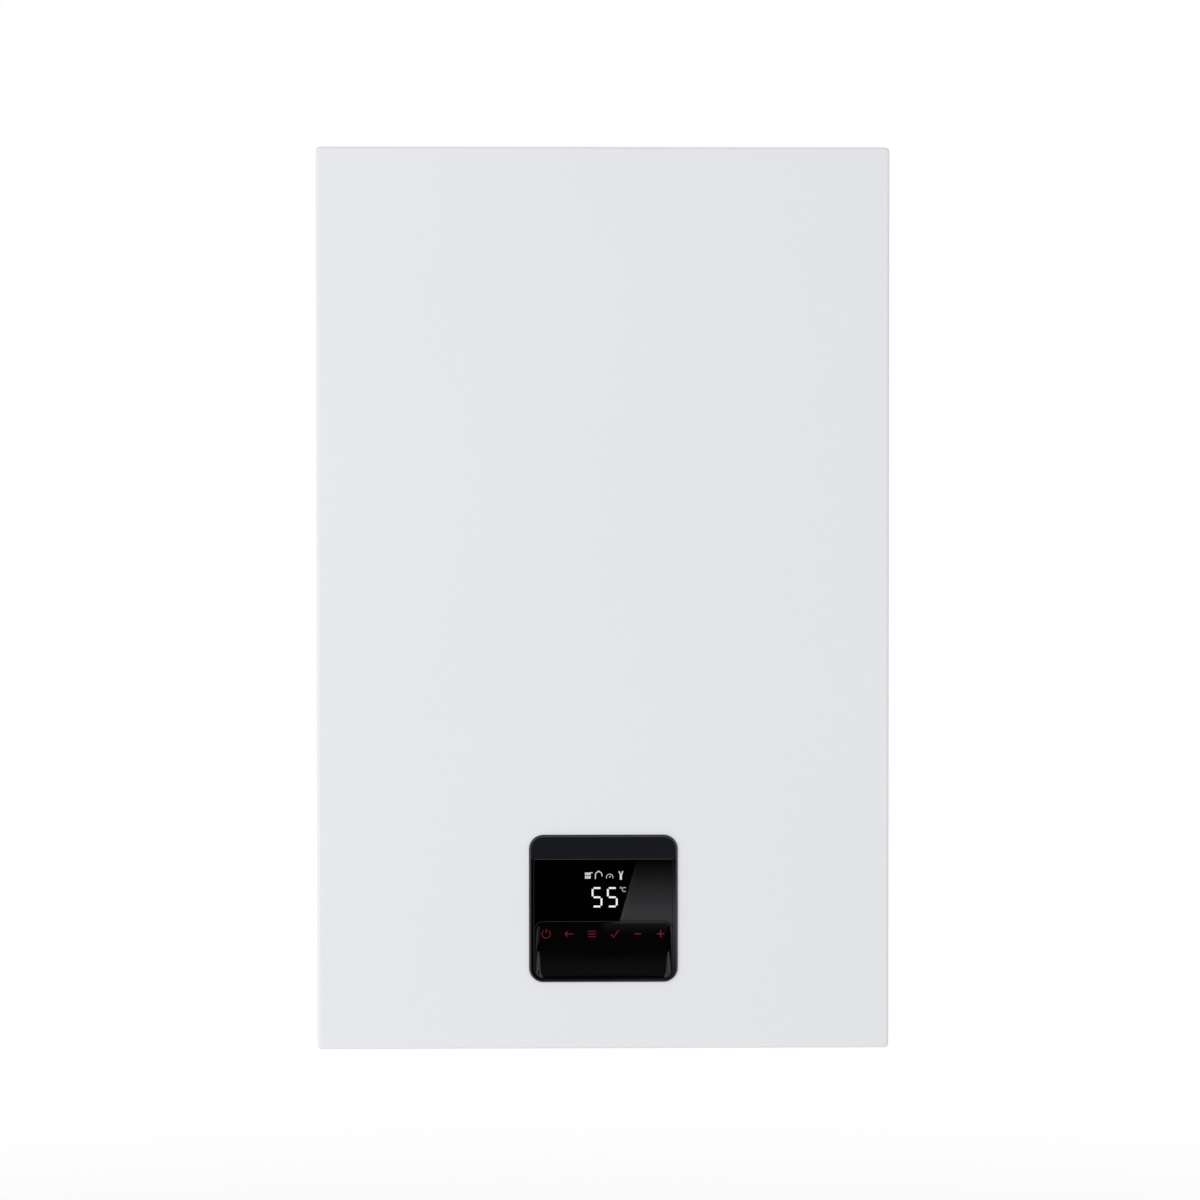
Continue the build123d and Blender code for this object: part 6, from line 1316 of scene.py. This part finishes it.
def make_panel_card():
    """Black card before the panel, seen only in mirror reflections, with one softly lit corner."""
    bpy.ops.object.select_all(action="DESELECT")
    y = WINDOW_LOW.y * MM - CARD_GAP
    bpy.ops.mesh.primitive_plane_add(size=1, location=(0.0, y, CARD_MIDDLE),
                                     rotation=(math.radians(90), 0, 0))
    card = bpy.context.object
    card.scale = (CARD_WIDTH, CARD_HEIGHT, 1.0)
    card = named("panel_card")
    top, bottom = Vector(card_point(*GLOW_TOP)), Vector(card_point(*GLOW_BOTTOM))
    across = Vector((top.y - bottom.y, bottom.x - top.x)).normalized()
    material = blank_material("panel_card_glow")
    place = add_node(material, "ShaderNodeTexCoord")
    reach = add_node(material, "ShaderNodeVectorMath", operation="DOT_PRODUCT",
                     inputs={1: (across.x, 0.0, across.y)}, links={0: place.outputs["Object"]})
    edge = top.dot(across)
    lit = add_node(material, "ShaderNodeMapRange", inputs={"From Min": edge, "From Max": edge + 1 * MM},
                   links={"Value": reach.outputs["Value"]})
    line = add_node(material, "ShaderNodeMapRange",
                    inputs={"From Min": edge + 2 * MM, "From Max": edge + 4 * MM, "To Min": 1.25,
                            "To Max": 1.0}, links={"Value": reach.outputs["Value"]})
    split = add_node(material, "ShaderNodeSeparateXYZ", links={0: place.outputs["Object"]})
    ramp = add_node(material, "ShaderNodeValToRGB")
    low, high = card_point(0, GLOW_FOOT)[1], card_point(0, GLOW_TOP[1] + 1)[1]
    height = add_node(material, "ShaderNodeMapRange", inputs={"From Min": low, "From Max": high},
                      links={"Value": split.outputs["Z"]})
    material.node_tree.links.new(height.outputs[0], ramp.inputs[0])
    stops = ramp.color_ramp.elements
    for spot, share in GLOW_STOPS:
        stop = stops.new(spot) if 0 < spot < 1 else stops[-int(spot)]
        stop.color = [share * tint for tint in GLOW_TINT] + [1.0]
    level = add_node(material, "ShaderNodeMath", operation="MULTIPLY",
                     links={0: lit.outputs[0], 1: line.outputs[0]})
    above = add_node(material, "ShaderNodeMapRange",
                     inputs={"From Min": high + 0.05, "From Max": high + 0.5, "To Max": GLOW_ABOVE},
                     links={"Value": split.outputs["Z"]})
    below = add_node(material, "ShaderNodeMapRange", interpolation_type="SMOOTHSTEP",
                     inputs={"From Min": low - 0.03, "From Max": low - 0.42, "To Max": GLOW_BELOW},
                     links={"Value": split.outputs["Z"]})
    level = add_node(material, "ShaderNodeMath", operation="MULTIPLY",
                     links={0: ramp.outputs["Color"], 1: level.outputs[0]})
    for more in (above, below):
        level = add_node(material, "ShaderNodeMath", operation="ADD",
                         links={0: level.outputs[0], 1: more.outputs[0]})
    glow = add_node(material, "ShaderNodeEmission", inputs={"Color": linear("F4F7FC")},
                    links={"Strength": level.outputs[0]})
    card.data.materials.append(close_material(material, glow))
    for kind in ("camera", "diffuse", "transmission", "volume_scatter", "shadow"):
        setattr(card, f"visible_{kind}", False)


def make_camera():
    """Camera at the photograph's viewing angle."""
    lens = bpy.data.cameras.new("view")
    lens.lens, lens.sensor_width = CAMERA_LENS, CAMERA_SENSOR
    camera = bpy.data.objects.new("view", lens)
    camera.location = CAMERA_PLACE
    camera.rotation_euler = [math.radians(turn) for turn in CAMERA_TURN]
    bpy.context.collection.objects.link(camera)
    bpy.context.scene.camera = camera


class BoilerSizes(bpy.types.PropertyGroup):
    """Sizes of the control panel and of the pressed details that a user may change"""

    panel_radius: FloatProperty(name="Panel Corner", description="Corner radius of the control panel",
                                default=0.0095, min=0.002, max=0.02, unit="LENGTH")
    panel_edge: FloatProperty(name="Panel Edge", description="Rounding of the control panel's outer edge",
                              default=0.0012, min=0.0003, max=0.003, unit="LENGTH")
    strip_height: FloatProperty(name="Strip Height", description="Height of the satin strip above the window",
                                default=0.0163, min=0.014, max=0.0166, unit="LENGTH")
    scoop_depth: FloatProperty(name="Scoop Depth", description="Depth of the finger scoop below the symbols",
                               default=0.0034, min=0.0005, max=0.004, unit="LENGTH")
    bead_width: FloatProperty(name="Bead Width", description="Width of the beads in the back sheet",
                              default=0.010, min=0.005, max=0.02, unit="LENGTH")
    thread_pitch: FloatProperty(name="Thread Pitch", description="Pitch of the pipe threads below the boiler",
                                default=0.001814, min=0.001, max=0.0025, unit="LENGTH")


class BoilerColours(bpy.types.PropertyGroup):
    """Colours that a user may change"""

    coat: FloatVectorProperty(name="Coat", description="Powder coat of the casing and its cover",
                              default=linear("E7E8EB")[:3], min=0.0, max=1.0, subtype="COLOR")
    digits: FloatVectorProperty(name="Digits", description="Light of the two digits on the display",
                                default=linear("F4F6F8")[:3], min=0.0, max=1.0, subtype="COLOR")
    touch_symbols: FloatVectorProperty(name="Touch Symbols", description="Light of the six touch symbols",
                                       default=linear("8F1A2C")[:3], min=0.0, max=1.0, subtype="COLOR")
    vessel: FloatVectorProperty(name="Vessel", description="Enamel of the expansion vessel",
                                default=linear("B3231F")[:3], min=0.0, max=1.0, subtype="COLOR")
    relief_knob: FloatVectorProperty(name="Relief Knob", description="Knob of the safety valve",
                                     default=linear("B8201F")[:3], min=0.0, max=1.0, subtype="COLOR")
    filling_knob: FloatVectorProperty(name="Filling Knob", description="Knob of the filling tap",
                                      default=linear("2459A6")[:3], min=0.0, max=1.0, subtype="COLOR")


def sizes():
    """The sizes a user may change, from the scene."""
    return bpy.context.scene.boiler_sizes


class BOILER_OT_finishes(bpy.types.Operator):
    """Give every part of the frame its material"""

    bl_idname = "boiler.finishes"
    bl_label = "Finishes"

    def execute(self, context):
        FINISHES.update(make_finishes(context.scene.boiler_colours))
        dress_nodes()
        return {"FINISHED"}


class BOILER_OT_panel(bpy.types.Operator):
    """Build the control panel: frame, window and key module"""

    bl_idname = "boiler.panel"
    bl_label = "Control Panel"

    def execute(self, context):
        build_bezel()
        build_window()
        build_keys()
        return {"FINISHED"}


class BOILER_OT_symbols(bpy.types.Operator):
    """Build the lit digits, pictograms and touch symbols"""

    bl_idname = "boiler.symbols"
    bl_label = "Lit Symbols"

    def execute(self, context):
        build_display()
        build_touch_symbols()
        return {"FINISHED"}


class BOILER_OT_casing(bpy.types.Operator):
    """Build the casing's screws, its back sheet, the cover's mat, the flue seals and the pipe nipples"""

    bl_idname = "boiler.casing"
    bl_label = "Casing"

    def execute(self, context):
        build_casing_screws()
        build_rear_sheet()
        build_cover_mat()
        build_flue_seals()
        build_nipples()
        return {"FINISHED"}


class BOILER_OT_combustion(bpy.types.Operator):
    """Build the wound tube and the details of the heat cell, the fan and the gas valve"""

    bl_idname = "boiler.combustion"
    bl_label = "Combustion"

    def execute(self, context):
        build_coil()
        build_cell_bands()
        build_cell_door()
        build_fan_details()
        build_gas_details()
        return {"FINISHED"}


class BOILER_OT_hydraulics(bpy.types.Operator):
    """Build the details of the pump, diverter, manifolds, vessel, plate exchanger, pipes and hoses"""

    bl_idname = "boiler.hydraulics"
    bl_label = "Hydraulics"

    def execute(self, context):
        build_hose_clamps()
        build_joint_clips()
        build_pump_details()
        build_diverter_details()
        build_manifold_details()
        build_vessel_details()
        build_exchanger_details()
        return {"FINISHED"}


class BOILER_OT_electronics(bpy.types.Operator):
    """Build the details of the electronics box"""

    bl_idname = "boiler.electronics"
    bl_label = "Electronics"

    def execute(self, context):
        build_electronics()
        return {"FINISHED"}


class BOILER_OT_stage(bpy.types.Operator):
    """Set the floor, the lamps, the surroundings and the camera"""

    bl_idname = "boiler.stage"
    bl_label = "Stage"

    def execute(self, context):
        make_world()
        make_floor()
        make_panel_card()
        make_lamp("left_lamp", LEFT_LAMP, LEFT_POWER)
        make_lamp("right_lamp", RIGHT_LAMP, RIGHT_POWER)
        make_camera()
        context.scene.view_settings.view_transform = "Standard"
        return {"FINISHED"}


class BOILER_PT_sidebar(bpy.types.Panel):
    """Sizes, colours and building steps of the boiler"""

    bl_idname = "BOILER_PT_sidebar"
    bl_label = "Combi Boiler"
    bl_space_type = "VIEW_3D"
    bl_region_type = "UI"
    bl_category = "Boiler"

    def draw(self, context):
        for group in (context.scene.boiler_sizes, context.scene.boiler_colours):
            box = self.layout.box()
            for name in group.__annotations__:
                box.prop(group, name)
        for step in STEPS:
            self.layout.operator(step.bl_idname)


STEPS = (BOILER_OT_finishes, BOILER_OT_panel, BOILER_OT_symbols, BOILER_OT_casing, BOILER_OT_combustion,
         BOILER_OT_hydraulics, BOILER_OT_electronics, BOILER_OT_stage)
CLASSES = (BoilerSizes, BoilerColours, *STEPS, BOILER_PT_sidebar)
FINISHES = {}


def register():
    for kind in CLASSES:
        bpy.utils.register_class(kind)
    bpy.types.Scene.boiler_sizes = PointerProperty(type=BoilerSizes)
    bpy.types.Scene.boiler_colours = PointerProperty(type=BoilerColours)


def unregister():
    del bpy.types.Scene.boiler_colours
    del bpy.types.Scene.boiler_sizes
    for kind in reversed(CLASSES):
        bpy.utils.unregister_class(kind)


def main():
    register()
    for step in STEPS:
        group, name = step.bl_idname.split(".")
        getattr(getattr(bpy.ops, group), name)()


if __name__ == "__main__":
    main()
